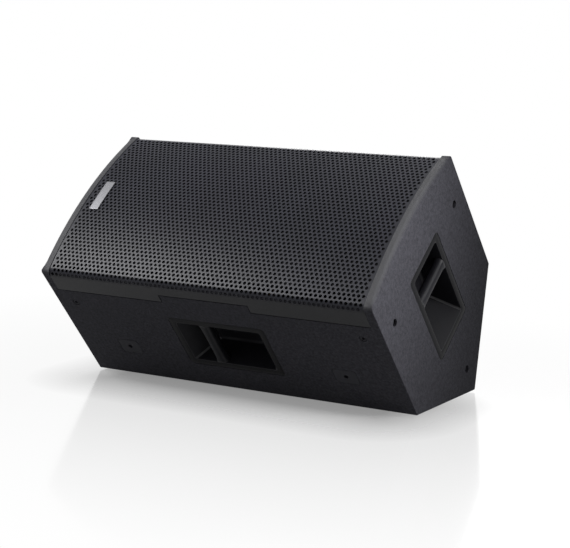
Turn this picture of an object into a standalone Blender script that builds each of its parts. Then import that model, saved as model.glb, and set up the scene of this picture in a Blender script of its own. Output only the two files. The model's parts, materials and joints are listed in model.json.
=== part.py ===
import math

import bmesh
import bpy
from mathutils import Matrix, Vector

# Stage monitor wedge: a five-sided plywood cabinet that lies on one facet of its V back.
# Cabinet frame: X along the length, Y up the sloping front, Z out of the front, with Z = 0 at the
# chord between the two front corners. Every sub-part is placed in this frame or in a facet's own frame.

# Driving dimensions, in metres
LENGTH = 0.660
FRONT_CHORD = 0.348
SIDE_DEPTH = 0.263
FLOOR_ANGLE = math.radians(39.4)
FRONT_BULGE = 0.020
BOARD = 0.015
FRONT_CORNER_RADIUS = 0.006
BACK_CORNER_RADIUS = 0.003
EDGE_ROUND = 0.0012
SEAM = 0.0003

# Grille: bowed sheet with side flanges folded back over the side panels
GRILLE_SHEET = 0.0015
GRILLE_INSET = 0.0015
GRILLE_FOLD_RADIUS = 0.008
GRILLE_FLANGE = 0.045
GRILLE_NOTCH_FLANGE = 0.028
GRILLE_NOTCH_HALF = 0.090
FOAM_THICKNESS = 0.005
FOAM_HALF_HEIGHT = 0.150
BADGE_LENGTH = 0.069
BADGE_WIDTH = 0.018
BADGE_THICKNESS = 0.0018
BADGE_X = -0.287

# Boards inside the section
SIDE_FRONT_Z = -0.012
BAFFLE_FRONT = -0.030
BRACE_X = 0.0355
BRACE_LOWER_Y = -0.100

# Handles: cup flange, trough and offset grip bar
HANDLE_LENGTH = 0.194
HANDLE_WIDTH = 0.120
HANDLE_FLANGE = 0.0085
HANDLE_FLANGE_THICKNESS = 0.0027
HANDLE_GAP = 0.0008
HANDLE_DEPTH = 0.055
HANDLE_WALL = 0.003
HANDLE_SCOOP_ANGLE = math.radians(60)
HANDLE_FLOOR_FILLET = 0.006
BAR_OFFSET = -0.030
BAR_WIDTH = 0.020
BAR_THICKNESS = 0.020
FRONT_HANDLE_DEPTH = 0.146
END_HANDLE_DEPTH = 0.161

# Rigging points
CORNER_POINT_DEPTH = 0.076
CORNER_POINT_OFFSET = 0.025
REAR_POINT_DEPTH = 0.349
RIGGING_PLATE_X = 0.222
RIGGING_PLATE_DEPTH = 0.184
RIGGING_PLATE = (0.044, 0.034, 0.003)
RIGGING_HOLE_RADIUS = 0.0045
PANEL_HOLE_RADIUS = 0.0050
BOSS_RADIUS = 0.009
BOSS_DEPTH = 0.024
BRACKET_LEG = 0.045
BRACKET_SHEET = 0.003
BRACKET_HEIGHT = 0.040

# Drive units
WOOFER_X = -0.150
WOOFER_FLANGE_RADIUS = 0.154
WOOFER_HOLE_RADIUS = 0.1425
HORN_X = 0.175
HORN_MOUTH_HALF = 0.098
HORN_FLANGE_HALF = 0.112
HORN_OPENING_HALF = 0.1025
HORN_FLANGE_THICKNESS = 0.004
HORN_WALL = 0.0035
THROAT_RADIUS = 0.0125
THROAT_Z = -0.140
PORT_X = 0.175
PORT_Y = 0.135
PORT_OPENING = (0.120, 0.037)
PORT_WALL = 0.0048
PORT_LENGTH = 0.085

# Fittings
POLE_SOCKET_DEPTH = 0.165
POLE_BORE_RADIUS = 0.0181
POLE_BORE_LENGTH = 0.085
POLE_WALL = 0.0034
POLE_FLANGE_RADIUS = 0.048
POLE_FLANGE_THICKNESS = 0.003
TERMINAL_X = 0.125
TERMINAL_FLANGE = (0.132, 0.086)
TERMINAL_MOUTH = (0.112, 0.068)
TERMINAL_DEPTH = 0.024
TERMINAL_WALL = 0.003
TERMINAL_SHEET = 0.0022
TERMINAL_LIP = 0.004
TERMINAL_CORNER = 0.006
SOCKET_SPACING = 0.048
SOCKET_RADIUS = 0.0122
FOOT_RADIUS = 0.011
FOOT_HEIGHT = 0.003
FOOT_X = 0.285
FOOT_Y = 0.085
BOARD_X = 0.140
BOARD_SIZE = (0.130, 0.090, 0.002)
STANDOFF_HEIGHT = 0.009
LEAD_RADIUS = 0.002
LEAD_GAP = 0.001

# Facet counts
CORNER_STEPS = 4
FRONT_STEPS = 14
CIRCLE_STEPS = 20
WOOFER_STEPS = 32
MOTOR_STEPS = 20
SMALL_STEPS = 12
RING_CORNER = 5
WELD = 0.00001
SMOOTH_ANGLE = math.radians(35)

HALF = FRONT_CHORD / 2
APEX_DEPTH = SIDE_DEPTH + HALF * math.tan(FLOOR_ANGLE)
ARC_RADIUS = (HALF ** 2 + FRONT_BULGE ** 2) / (2 * FRONT_BULGE)
ARC_CENTRE_Z = FRONT_BULGE - ARC_RADIUS
INNER_LENGTH = LENGTH - 2 * (BOARD + SEAM)
INNER_HALF = HALF - BOARD - SEAM
BAFFLE_BACK = BAFFLE_FRONT - BOARD

# Colour, roughness and metallic value of each finish
FINISHES = {
    "cabinet_paint": ((0.022, 0.022, 0.025), 0.55, 0.0),
    "bare_plywood": ((0.42, 0.30, 0.17), 0.75, 0.0),
    "grille_paint": ((0.030, 0.030, 0.033), 0.45, 0.6),
    "acoustic_foam": ((0.008, 0.008, 0.009), 0.95, 0.0),
    "badge_silver": ((0.45, 0.45, 0.46), 0.40, 0.7),
    "handle_plastic": ((0.018, 0.018, 0.020), 0.45, 0.0),
    "cast_frame": ((0.040, 0.040, 0.042), 0.50, 0.7),
    "cone_paper": ((0.020, 0.020, 0.020), 0.85, 0.0),
    "black_rubber": ((0.012, 0.012, 0.012), 0.80, 0.0),
    "spider_cloth": ((0.55, 0.36, 0.12), 0.90, 0.0),
    "zinc_steel": ((0.55, 0.55, 0.56), 0.35, 1.0),
    "black_steel": ((0.024, 0.024, 0.026), 0.45, 0.6),
    "ferrite": ((0.060, 0.058, 0.056), 0.70, 0.0),
    "titanium": ((0.48, 0.47, 0.46), 0.30, 1.0),
    "copper_wire": ((0.60, 0.26, 0.12), 0.35, 1.0),
    "circuit_board": ((0.05, 0.16, 0.07), 0.55, 0.0),
    "capacitor_film": ((0.50, 0.33, 0.06), 0.45, 0.0),
    "socket_plastic": ((0.015, 0.020, 0.030), 0.40, 0.0),
    "felt": ((0.30, 0.31, 0.32), 0.98, 0.0),
    "cable_jacket": ((0.40, 0.03, 0.03), 0.50, 0.0),
}


# Scene and assembly helpers

def clear_scene():
    for obj in list(bpy.data.objects):
        bpy.data.objects.remove(obj, do_unlink=True)


def new_collection(name):
    collection = bpy.data.collections.new(name)
    bpy.context.scene.collection.children.link(collection)
    return collection


def new_material(name, finish):
    colour, roughness, metallic = FINISHES[finish]
    material = bpy.data.materials.new(name)
    material.use_nodes = True
    shader = material.node_tree.nodes["Principled BSDF"]
    shader.inputs["Base Color"].default_value = (*colour, 1.0)
    shader.inputs["Roughness"].default_value = roughness
    shader.inputs["Metallic"].default_value = metallic
    return material


def new_frame(name, parent=None, location=(0, 0, 0), axes=None, turn=0.0):
    frame = bpy.data.objects.new(name, None)
    PARTS.objects.link(frame)
    frame.parent = parent
    matrix = Matrix(axes).transposed().to_4x4() if axes else Matrix.Rotation(turn, 4, "Z")
    frame.matrix_local = Matrix.Translation(location) @ matrix
    return frame


def add_part(name, mesh, finish, frame, location=(0, 0, 0), turn=0.0):
    obj = bpy.data.objects.new(name, mesh)
    mesh.materials.clear()
    mesh.materials.append(new_material(name, finish))
    PARTS.objects.link(obj)
    obj.parent = frame
    obj.location = location
    obj.rotation_euler = (0, 0, turn)
    return obj


def add_cutter(name, mesh, frame, location=(0, 0, 0), turn=0.0):
    obj = bpy.data.objects.new(name, mesh)
    CUTTERS.objects.link(obj)
    obj.parent = frame
    obj.location = location
    obj.rotation_euler = (0, 0, turn)
    obj.hide_render = True
    obj.display_type = "WIRE"
    return obj


def combine(part, tool, operation="DIFFERENCE"):
    modifier = part.modifiers.new(tool.name, "BOOLEAN")
    modifier.operation = operation
    modifier.object = tool


# Outlines, as lists of points in a plane

def fillet(before, corner, after, radius, steps=CORNER_STEPS):
    # Arc tangent to both sides of a corner
    corner = Vector(corner)
    back = (Vector(before) - corner).normalized()
    ahead = (Vector(after) - corner).normalized()
    half_angle = back.angle(ahead) / 2
    centre = corner + (back + ahead).normalized() * radius / math.sin(half_angle)
    first = corner + back * radius / math.tan(half_angle) - centre
    last = corner + ahead * radius / math.tan(half_angle) - centre
    start = math.atan2(first.y, first.x)
    sweep = (math.atan2(last.y, last.x) - start + math.pi) % (2 * math.pi) - math.pi
    angles = [start + sweep * i / steps for i in range(steps + 1)]
    return [centre + Vector((math.cos(a), math.sin(a))) * radius for a in angles]


def circle(radius, centre=(0, 0), steps=CIRCLE_STEPS):
    angles = [2 * math.pi * i / steps for i in range(steps)]
    return [(centre[0] + radius * math.cos(a), centre[1] + radius * math.sin(a)) for a in angles]


def rectangle(width, height, centre=(0, 0), radius=0.0, steps=CORNER_STEPS):
    x, y = centre
    corners = [(x + sx * width / 2, y + sy * height / 2) for sx, sy in ((1, -1), (1, 1), (-1, 1), (-1, -1))]
    if radius == 0.0:
        return corners
    points = []
    for i, corner in enumerate(corners):
        points += fillet(corners[i - 1], corner, corners[(i + 1) % 4], radius, steps)
    return points


def inset_corner(index, distance):
    # Corner of the back outline, moved inwards from both of its boards
    corner = Vector(BACK_CORNERS[index])
    back = (Vector(BACK_CORNERS[index - 1]) - corner).normalized()
    ahead = (Vector(BACK_CORNERS[index + 1]) - corner).normalized()
    half_angle = back.angle(ahead) / 2
    return corner + (back + ahead).normalized() * distance / math.sin(half_angle)


def front_z(y, inset=0.0):
    return ARC_CENTRE_Z + math.sqrt((ARC_RADIUS - inset) ** 2 - y ** 2)


def arc_band(half_height, outer_inset, thickness, steps):
    # Band that follows the bowed front, as a closed outline in the section plane
    heights = [half_height * (2 * i / steps - 1) for i in range(steps + 1)]
    outer = [(y, front_z(y, outer_inset)) for y in heights]
    inner = [(y, front_z(y, outer_inset + thickness)) for y in reversed(heights)]
    return outer + inner


def ribbon(line, thickness):
    # Closed outline of constant thickness about a line of points
    line = [Vector(point) for point in line]
    upper = []
    lower = []
    for i, point in enumerate(line):
        direction = (line[min(i + 1, len(line) - 1)] - line[max(i - 1, 0)]).normalized()
        normal = Vector((-direction.y, direction.x)) * thickness / 2
        upper.append(point + normal)
        lower.append(point - normal)
    return upper + lower[::-1]


# Rings of points for lofts, all with the same count and all counter-clockwise

def round_ring(radius, z):
    count = 4 * RING_CORNER
    angles = [2 * math.pi * (i + 0.5) / count for i in range(count)]
    return [(radius * math.cos(a), radius * math.sin(a), z) for a in angles]


def rect_ring(half_x, half_y, radius, z):
    ring = []
    for quarter, (sx, sy) in enumerate(((1, 1), (-1, 1), (-1, -1), (1, -1))):
        cx = sx * (half_x - radius)
        cy = sy * (half_y - radius)
        for i in range(RING_CORNER):
            angle = math.pi / 2 * (quarter + i / (RING_CORNER - 1))
            ring.append((cx + radius * math.cos(angle), cy + radius * math.sin(angle), z))
    return ring


def square_ring(half, exponent, z, count=24):
    # Superellipse: exponent 2 is a circle, a high one a square with rounded corners
    ring = []
    for i in range(count):
        angle = 2 * math.pi * (i + 0.5) / count
        c = math.cos(angle)
        s = math.sin(angle)
        reach = half / (abs(c) ** exponent + abs(s) ** exponent) ** (1 / exponent)
        ring.append((reach * c, reach * s, z))
    return ring


# Meshes

def tidy_mesh(mesh):
    edit = bmesh.new()
    edit.from_mesh(mesh)
    bmesh.ops.remove_doubles(edit, verts=edit.verts, dist=WELD)
    bmesh.ops.recalc_face_normals(edit, faces=edit.faces)
    edit.to_mesh(mesh)
    edit.free()
    mesh.shade_smooth()
    mesh.set_sharp_from_angle(angle=SMOOTH_ANGLE)
    return mesh


def bake(obj):
    # Mesh of an object with its modifiers or curve settings applied; the object itself is removed
    bpy.context.view_layer.update()
    depsgraph = bpy.context.evaluated_depsgraph_get()
    mesh = bpy.data.meshes.new_from_object(obj.evaluated_get(depsgraph))
    bpy.data.objects.remove(obj, do_unlink=True)
    return tidy_mesh(mesh)


def plate_mesh(outlines, thickness, edge_round=0.0):
    # Flat plate from an outline and any holes in it, centred on its own plane
    curve = bpy.data.curves.new("outline", "CURVE")
    curve.dimensions = "2D"
    curve.fill_mode = "BOTH"
    curve.extrude = thickness / 2
    for outline in outlines:
        spline = curve.splines.new("POLY")
        spline.points.add(len(outline) - 1)
        for point, (u, v) in zip(spline.points, outline):
            point.co = (u, v, 0.0, 1.0)
        spline.use_cyclic_u = True
    holder = bpy.data.objects.new("outline", curve)
    PARTS.objects.link(holder)
    mesh = bake(holder)
    if edge_round:
        holder = bpy.data.objects.new("plate", mesh)
        PARTS.objects.link(holder)
        bevel = holder.modifiers.new("edges", "BEVEL")
        bevel.width = edge_round
        bevel.segments = 1
        bevel.limit_method = "ANGLE"
        bevel.angle_limit = math.radians(60)
        mesh = bake(holder)
    return mesh


def turned_mesh(profile, steps):
    # Profile of (radius, z) points turned about Z; a profile whose ends are off the axis is closed
    count = len(profile)
    edges = [(i, i + 1) for i in range(count - 1)]
    if profile[0][0] > 0.0:
        edges.append((count - 1, 0))
    mesh = bpy.data.meshes.new("profile")
    mesh.from_pydata([(r, 0.0, z) for r, z in profile], edges, [])
    holder = bpy.data.objects.new("profile", mesh)
    PARTS.objects.link(holder)
    screw = holder.modifiers.new("turn", "SCREW")
    screw.axis = "Z"
    screw.steps = steps
    screw.render_steps = steps
    screw.use_merge_vertices = True
    screw.merge_threshold = WELD
    return bake(holder)


def ring_mesh(inner, outer, top, bottom, steps):
    return turned_mesh([(outer, top), (outer, bottom), (inner, bottom), (inner, top)], steps)


def loft_mesh(rings, closed=False):
    # Skin through rings of equal count, capped at both ends or joined back to its first ring
    mesh = bpy.data.meshes.new("loft")
    edit = bmesh.new()
    loops = [[edit.verts.new(point) for point in ring] for ring in rings]
    pairs = list(zip(loops, loops[1:]))
    if closed:
        pairs.append((loops[-1], loops[0]))
    for low, high in pairs:
        for i in range(len(low)):
            j = (i + 1) % len(low)
            edit.faces.new((low[i], low[j], high[j], high[i]))
    if not closed:
        edit.faces.new(loops[0])
        edit.faces.new(loops[-1])
    edit.to_mesh(mesh)
    edit.free()
    return tidy_mesh(mesh)


def rod_mesh(radius, length, steps=SMALL_STEPS):
    # Cylinder along Z from 0 down to -length
    return turned_mesh([(0.0, 0.0), (radius, 0.0), (radius, -length), (0.0, -length)], steps)


# Section of the cabinet

BACK_CORNERS = [(-HALF, 0.0), (-HALF, -SIDE_DEPTH), (0.0, -APEX_DEPTH), (HALF, -SIDE_DEPTH), (HALF, 0.0)]


def end_outline():
    # Five-sided outline with a bowed front edge and rounded corners
    reach = 0.92 * HALF
    heights = [reach * (1 - 2 * i / FRONT_STEPS) for i in range(FRONT_STEPS + 1)]
    bow = [(y, front_z(y)) for y in heights]
    ring = BACK_CORNERS + bow
    radii = [FRONT_CORNER_RADIUS] + [BACK_CORNER_RADIUS] * 3 + [FRONT_CORNER_RADIUS]
    points = []
    for i, radius in enumerate(radii):
        points += fillet(ring[i - 1], ring[i], ring[i + 1], radius)
    return points + [Vector(point) for point in bow]


def mitred_outline(start, end):
    # Section of the board between two back corners, with a mitre at each; front ends are cut square
    along = (Vector(BACK_CORNERS[end]) - Vector(BACK_CORNERS[start])).normalized() * SEAM / 2
    middle = CORNER_STEPS // 2
    last = len(BACK_CORNERS) - 1

    def rounded(index):
        return fillet(*(BACK_CORNERS[index + k] for k in (-1, 0, 1)), BACK_CORNER_RADIUS)

    if start == 0:
        head = [Vector((-HALF, SIDE_FRONT_Z))]
        tail = [Vector((-HALF + BOARD, SIDE_FRONT_Z))]
    else:
        head = [point + along for point in rounded(start)[middle:]]
        tail = [inset_corner(start, BOARD) + along]
    if end == last:
        head += [Vector((HALF, SIDE_FRONT_Z))]
        tail = [Vector((HALF - BOARD, SIDE_FRONT_Z))] + tail
    else:
        head += [point - along for point in rounded(end)[:middle + 1]]
        tail = [inset_corner(end, BOARD) - along] + tail
    return head + tail


# Frames: the cabinet on its floor facet, then one frame on each outer face with Z pointing out

def build_frames():
    s = math.sin(FLOOR_ANGLE)
    c = math.cos(FLOOR_ANGLE)
    reach = [y * c - z * s for y, z in end_outline()]
    centre_y = -(min(reach) + max(reach)) / 2
    height = HALF * s + SIDE_DEPTH * c + FOOT_HEIGHT + SEAM
    cabinet = new_frame("cabinet_frame", None, (0, centre_y, height), ((1, 0, 0), (0, c, s), (0, -s, c)))
    middle_z = -(SIDE_DEPTH + APEX_DEPTH) / 2
    frames = {"cabinet": cabinet}
    frames["section"] = new_frame("section_frame", cabinet, (0, 0, 0), ((0, 1, 0), (0, 0, 1), (1, 0, 0)))
    frames["lower_side"] = new_frame(
        "lower_side_frame", cabinet, (0, -HALF, 0), ((1, 0, 0), (0, 0, 1), (0, -1, 0)))
    frames["upper_side"] = new_frame(
        "upper_side_frame", cabinet, (0, HALF, 0), ((1, 0, 0), (0, 0, -1), (0, 1, 0)))
    frames["floor"] = new_frame(
        "floor_frame", cabinet, (0, -HALF / 2, middle_z), ((1, 0, 0), (0, -c, s), (0, -s, -c)))
    frames["rear"] = new_frame(
        "rear_frame", cabinet, (0, HALF / 2, middle_z), ((1, 0, 0), (0, -c, -s), (0, s, -c)))
    frames["right"] = new_frame(
        "right_end_frame", cabinet, (LENGTH / 2, 0, 0), ((0, 1, 0), (0, 0, 1), (1, 0, 0)))
    frames["left"] = new_frame(
        "left_end_frame", cabinet, (-LENGTH / 2, 0, 0), ((0, -1, 0), (0, 0, 1), (-1, 0, 0)))
    frames["woofer"] = new_frame("woofer_axis", cabinet, (WOOFER_X, 0, 0))
    frames["horn"] = new_frame("horn_axis", cabinet, (HORN_X, 0, 0))
    frames["front_handle"] = new_frame(
        "front_handle_frame", frames["lower_side"], (0, -FRONT_HANDLE_DEPTH, 0))
    frames["end_handle"] = new_frame(
        "end_handle_frame", frames["right"], (0, -END_HANDLE_DEPTH, 0), turn=-math.pi / 2)
    return frames


# Cabinet boards

def build_end_panels(frames):
    corner_y = HALF - BOARD - CORNER_POINT_OFFSET
    points = [(-corner_y, -CORNER_POINT_DEPTH), (corner_y, -CORNER_POINT_DEPTH), (0.0, -REAR_POINT_DEPTH)]
    holes = [circle(PANEL_HOLE_RADIUS, point, SMALL_STEPS) for point in points]
    panels = {}
    for side, sign in (("left", -1), ("right", 1)):
        mesh = plate_mesh([end_outline()] + holes, BOARD, EDGE_ROUND)
        place = (0, 0, sign * (LENGTH - BOARD) / 2)
        panels[side] = add_part("end_panel_" + side, mesh, "cabinet_paint", frames["section"], place)
    cut_handle_opening(panels["right"], frames["end_handle"], "end_handle")
    recess_top = 0.002
    recess = rod_mesh(POLE_FLANGE_RADIUS + SEAM, POLE_FLANGE_THICKNESS + SEAM + recess_top, WOOFER_STEPS)
    bore = rod_mesh(POLE_BORE_RADIUS + POLE_WALL + SEAM, 2 * BOARD, WOOFER_STEPS)
    for name, mesh in (("pole_recess", recess), ("pole_bore", bore)):
        combine(panels["left"], add_cutter(name, mesh, frames["left"], (0, -POLE_SOCKET_DEPTH, recess_top)))


def build_boards(frames):
    boards = {}
    for name, start, end, finish in (
        ("lower_side_panel", 0, 1, "cabinet_paint"),
        ("floor_panel", 1, 2, "cabinet_paint"),
        ("rear_panel", 2, 3, "cabinet_paint"),
        ("upper_side_panel", 3, 4, "cabinet_paint"),
    ):
        mesh = plate_mesh([mitred_outline(start, end)], INNER_LENGTH)
        boards[name] = add_part(name, mesh, finish, frames["section"])
    cut_handle_opening(boards["lower_side_panel"], frames["front_handle"], "front_handle")
    for side in ("lower_side", "upper_side"):
        towards_front = 1 if side == "lower_side" else -1
        panel = boards[side + "_panel"]
        cut_flange_rebate(panel, frames[side], side, towards_front)
        for x in (-1, 1):
            cut_rigging_seat(panel, frames[side], f"{side}_{x}", x, towards_front)
            point_x = x * (LENGTH / 2 - BOARD - CORNER_POINT_OFFSET)
            place = (point_x, -towards_front * CORNER_POINT_DEPTH, BOARD)
            hole = rod_mesh(PANEL_HOLE_RADIUS, 3 * BOARD)
            combine(panel, add_cutter(f"{side}_corner_point_{x}", hole, frames[side], place))
    opening_size = (size - 2 * TERMINAL_LIP for size in TERMINAL_FLANGE)
    recess_size = (size + 2 * SEAM for size in TERMINAL_FLANGE)
    opening = plate_mesh([rectangle(*opening_size, radius=TERMINAL_CORNER)], 3 * BOARD)
    recess = plate_mesh([rectangle(*recess_size, radius=TERMINAL_CORNER)], 2 * (TERMINAL_SHEET + SEAM))
    for name, mesh in (("terminal_opening", opening), ("terminal_recess", recess)):
        combine(boards["rear_panel"], add_cutter(name, mesh, frames["rear"], (TERMINAL_X, 0, 0)))


def cut_handle_opening(panel, frame, name):
    recess_size = (HANDLE_LENGTH + 2 * HANDLE_GAP, HANDLE_WIDTH + 2 * HANDLE_GAP)
    recess = plate_mesh([rectangle(*recess_size, radius=0.006)], 2 * (HANDLE_FLANGE_THICKNESS + SEAM))
    combine(panel, add_cutter(name + "_recess", recess, frame))
    margin = 2 * (HANDLE_FLANGE - HANDLE_WALL - 2 * SEAM)
    opening = plate_mesh([rectangle(HANDLE_LENGTH - margin, HANDLE_WIDTH - margin, radius=0.010)], 3 * BOARD)
    combine(panel, add_cutter(name + "_opening", opening, frame))


def cut_flange_rebate(panel, frame, name, towards_front):
    # Shallow step that lets the grille's folded flange lie flush with the panel
    low = -(GRILLE_FLANGE + SEAM) * towards_front
    notch = -(GRILLE_NOTCH_FLANGE + SEAM) * towards_front
    top = BOARD * towards_front
    half = LENGTH / 2
    inner = GRILLE_NOTCH_HALF - SEAM
    outline = [(-half, low), (half, low), (half, top), (-half, top)]
    if name == "lower_side":
        step = [(-inner, low), (-inner, notch), (inner, notch), (inner, low)]
        outline = outline[:1] + step + outline[1:]
    rebate = plate_mesh([outline], 2 * (GRILLE_SHEET + SEAM))
    combine(panel, add_cutter(name + "_rebate", rebate, frame))


def cut_rigging_seat(panel, frame, name, side, towards_front):
    place = (side * RIGGING_PLATE_X, -towards_front * RIGGING_PLATE_DEPTH, 0)
    width, height, thickness = (size + 2 * SEAM for size in RIGGING_PLATE)
    seat = plate_mesh([rectangle(width, height, radius=0.005)], 2 * (thickness - SEAM))
    combine(panel, add_cutter(name + "_rigging_seat", seat, frame, place))
    hole = rod_mesh(BOSS_RADIUS + 2 * SEAM, 2 * BOARD, CIRCLE_STEPS)
    combine(panel, add_cutter(name + "_rigging_bore", hole, frame, place))


def build_baffle_and_brace(frames):
    holes = [
        circle(WOOFER_HOLE_RADIUS, (WOOFER_X, 0), WOOFER_STEPS),
        rectangle(2 * HORN_OPENING_HALF, 2 * HORN_OPENING_HALF, (HORN_X, 0), 0.020),
    ]
    for sign in (-1, 1):
        holes.append(rectangle(*PORT_OPENING, (PORT_X, sign * PORT_Y), 0.010))
    mesh = plate_mesh([rectangle(INNER_LENGTH, 2 * INNER_HALF)] + holes, BOARD)
    add_part("front_baffle", mesh, "bare_plywood", frames["cabinet"], (0, 0, BAFFLE_FRONT - BOARD / 2))

    apex = inset_corner(2, BOARD + SEAM)
    rear = inset_corner(3, BOARD + SEAM)
    top = BAFFLE_BACK - SEAM
    lower_z = apex.y - BRACE_LOWER_Y * math.tan(FLOOR_ANGLE)
    outline = [(BRACE_LOWER_Y, top), (BRACE_LOWER_Y, lower_z), apex, rear, (rear.x, top)]
    window = rectangle(0.160, 0.200, (0.030, -0.185), 0.030)
    mesh = plate_mesh([outline, window], BOARD)
    add_part("cabinet_brace", mesh, "bare_plywood", frames["section"], (0, 0, BRACE_X))


def build_ports(frames):
    outer = tuple(size + 2 * PORT_WALL for size in PORT_OPENING)
    place_z = BAFFLE_BACK - SEAM - PORT_LENGTH / 2
    for name, sign in (("port_duct_lower", -1), ("port_duct_upper", 1)):
        outlines = [rectangle(*outer, radius=0.012), rectangle(*PORT_OPENING, radius=0.010)]
        mesh = plate_mesh(outlines, PORT_LENGTH)
        add_part(name, mesh, "handle_plastic", frames["cabinet"], (PORT_X, sign * PORT_Y, place_z))


# Front: grille, foam and badge

def grille_profile():
    # Outer line of the bent sheet: from the flange's lower edge to the middle of the bow, then mirrored
    radius = ARC_RADIUS - GRILLE_INSET
    fold_y = HALF - GRILLE_FOLD_RADIUS
    fold_z = ARC_CENTRE_Z + math.sqrt((radius - GRILLE_FOLD_RADIUS) ** 2 - fold_y ** 2)
    end_angle = math.atan2(fold_z - ARC_CENTRE_Z, -fold_y)
    half = [(-HALF, -GRILLE_FLANGE)]
    for i in range(CORNER_STEPS + 1):
        angle = math.pi + (end_angle - math.pi) * i / CORNER_STEPS
        out_y = GRILLE_FOLD_RADIUS * math.cos(angle)
        out_z = GRILLE_FOLD_RADIUS * math.sin(angle)
        half.append((out_y - fold_y, out_z + fold_z))
    steps = FRONT_STEPS // 2
    for i in range(1, steps + 1):
        angle = end_angle + (math.pi / 2 - end_angle) * i / steps
        half.append((radius * math.cos(angle), ARC_CENTRE_Z + radius * math.sin(angle)))
    return half + [(-y, z) for y, z in reversed(half[:-1])]


def build_grille(frames):
    profile = grille_profile()
    edit = bmesh.new()
    line = [edit.verts.new((-INNER_LENGTH / 2, y, z)) for y, z in profile]
    edges = [edit.edges.new(pair) for pair in zip(line, line[1:])]
    swept = bmesh.ops.extrude_edge_only(edit, edges=edges)["geom"]
    moved = [item for item in swept if isinstance(item, bmesh.types.BMVert)]
    bmesh.ops.translate(edit, verts=moved, vec=(INNER_LENGTH, 0, 0))
    bmesh.ops.recalc_face_normals(edit, faces=edit.faces)
    if sum(face.normal.z for face in edit.faces) < 0:
        bmesh.ops.reverse_faces(edit, faces=edit.faces)
    mesh = bpy.data.meshes.new("grille")
    edit.to_mesh(mesh)
    edit.free()
    mesh.shade_smooth()
    mesh.set_sharp_from_angle(angle=SMOOTH_ANGLE)
    grille = add_part("grille", mesh, "grille_paint", frames["cabinet"])
    sheet = grille.modifiers.new("sheet", "SOLIDIFY")
    sheet.thickness = GRILLE_SHEET
    sheet.offset = -1.0
    sheet.use_even_offset = True
    depth = GRILLE_FLANGE - GRILLE_NOTCH_FLANGE
    notch = plate_mesh([rectangle(2 * GRILLE_NOTCH_HALF, 2 * depth)], 6 * GRILLE_SHEET)
    combine(grille, add_cutter("grille_notch", notch, frames["lower_side"], (0, -GRILLE_FLANGE, 0)))


def build_front_trim(frames):
    foam_inset = GRILLE_INSET + GRILLE_SHEET + SEAM
    foam_band = arc_band(FOAM_HALF_HEIGHT, foam_inset, FOAM_THICKNESS, FRONT_STEPS)
    foam = plate_mesh([foam_band], INNER_LENGTH - 2 * SEAM)
    add_part("grille_foam", foam, "acoustic_foam", frames["section"])
    badge_inset = GRILLE_INSET - SEAM - BADGE_THICKNESS
    badge = plate_mesh([arc_band(BADGE_LENGTH / 2, badge_inset, BADGE_THICKNESS, 4)], BADGE_WIDTH)
    add_part("badge_plate", badge, "badge_silver", frames["section"], (0, 0, BADGE_X))


# Handles

def handle_cup_mesh():
    mouth_x = HANDLE_LENGTH / 2 - HANDLE_FLANGE
    mouth_y = HANDLE_WIDTH / 2 - HANDLE_FLANGE
    seat_z = -(BAR_THICKNESS + 0.005)
    fillet_size = HANDLE_FLOOR_FILLET
    floor_z = -HANDLE_DEPTH

    def wall(z, out=0.0):
        # Half sizes of the trough at a depth: scooped at the two ends, drafted below the bar's seats
        x = mouth_x + z / math.tan(HANDLE_SCOOP_ANGLE)
        y = mouth_y + min(0.0, z - seat_z) * 0.12
        return x + out, y + out

    low_x, low_y = wall(floor_z + fillet_size)
    under_x, under_y = wall(floor_z, HANDLE_WALL)
    rings = [
        rect_ring(low_x - fillet_size, low_y - fillet_size, 0.010, floor_z),
        rect_ring(low_x - 0.3 * fillet_size, low_y - 0.3 * fillet_size, 0.011, floor_z + 0.3 * fillet_size),
        rect_ring(low_x, low_y, 0.012, floor_z + fillet_size),
        rect_ring(*wall(seat_z), 0.010, seat_z),
        rect_ring(*wall(-HANDLE_FLANGE_THICKNESS), 0.008, -HANDLE_FLANGE_THICKNESS),
        rect_ring(mouth_x + 0.0012, mouth_y + 0.0012, 0.009, 0.0),
        rect_ring(HANDLE_LENGTH / 2 - EDGE_ROUND, HANDLE_WIDTH / 2 - EDGE_ROUND, 0.005, 0.0),
        rect_ring(HANDLE_LENGTH / 2, HANDLE_WIDTH / 2, 0.006, -EDGE_ROUND),
        rect_ring(HANDLE_LENGTH / 2, HANDLE_WIDTH / 2, 0.006, -HANDLE_FLANGE_THICKNESS),
        rect_ring(mouth_x + HANDLE_WALL, mouth_y + HANDLE_WALL, 0.008, -HANDLE_FLANGE_THICKNESS),
        rect_ring(*wall(seat_z, HANDLE_WALL), 0.010, seat_z),
        rect_ring(under_x, under_y, 0.014, floor_z - HANDLE_WALL),
    ]
    return loft_mesh(rings)


def handle_bar_mesh():
    # Grip bar across the trough: waisted in the middle, its flat top level with the flange
    half_length = HANDLE_WIDTH / 2 - HANDLE_FLANGE - SEAM
    stations = ((-1.0, 1.28), (-0.86, 1.08), (-0.4, 1.0), (0.4, 1.0), (0.86, 1.08), (1.0, 1.28))
    count = 14
    rings = []
    for along, swell in stations:
        ring = []
        for i in range(count):
            angle = 2 * math.pi * i / count
            across = abs(math.cos(angle)) ** 0.7 * math.copysign(1, math.cos(angle))
            depth = abs(math.sin(angle)) ** 0.7 * math.copysign(1, math.sin(angle))
            x = BAR_OFFSET + across * BAR_WIDTH * swell / 2
            z = -BAR_THICKNESS / 2 + depth * BAR_THICKNESS / 2 - SEAM
            ring.append((x, along * half_length, z))
        rings.append(ring)
    return loft_mesh(rings)


def build_handles(frames):
    for place in ("front", "end"):
        frame = frames[place + "_handle"]
        add_part("handle_cup_" + place, handle_cup_mesh(), "handle_plastic", frame)
        add_part("handle_bar_" + place, handle_bar_mesh(), "handle_plastic", frame)


# Woofer, all turned about its axis

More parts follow.
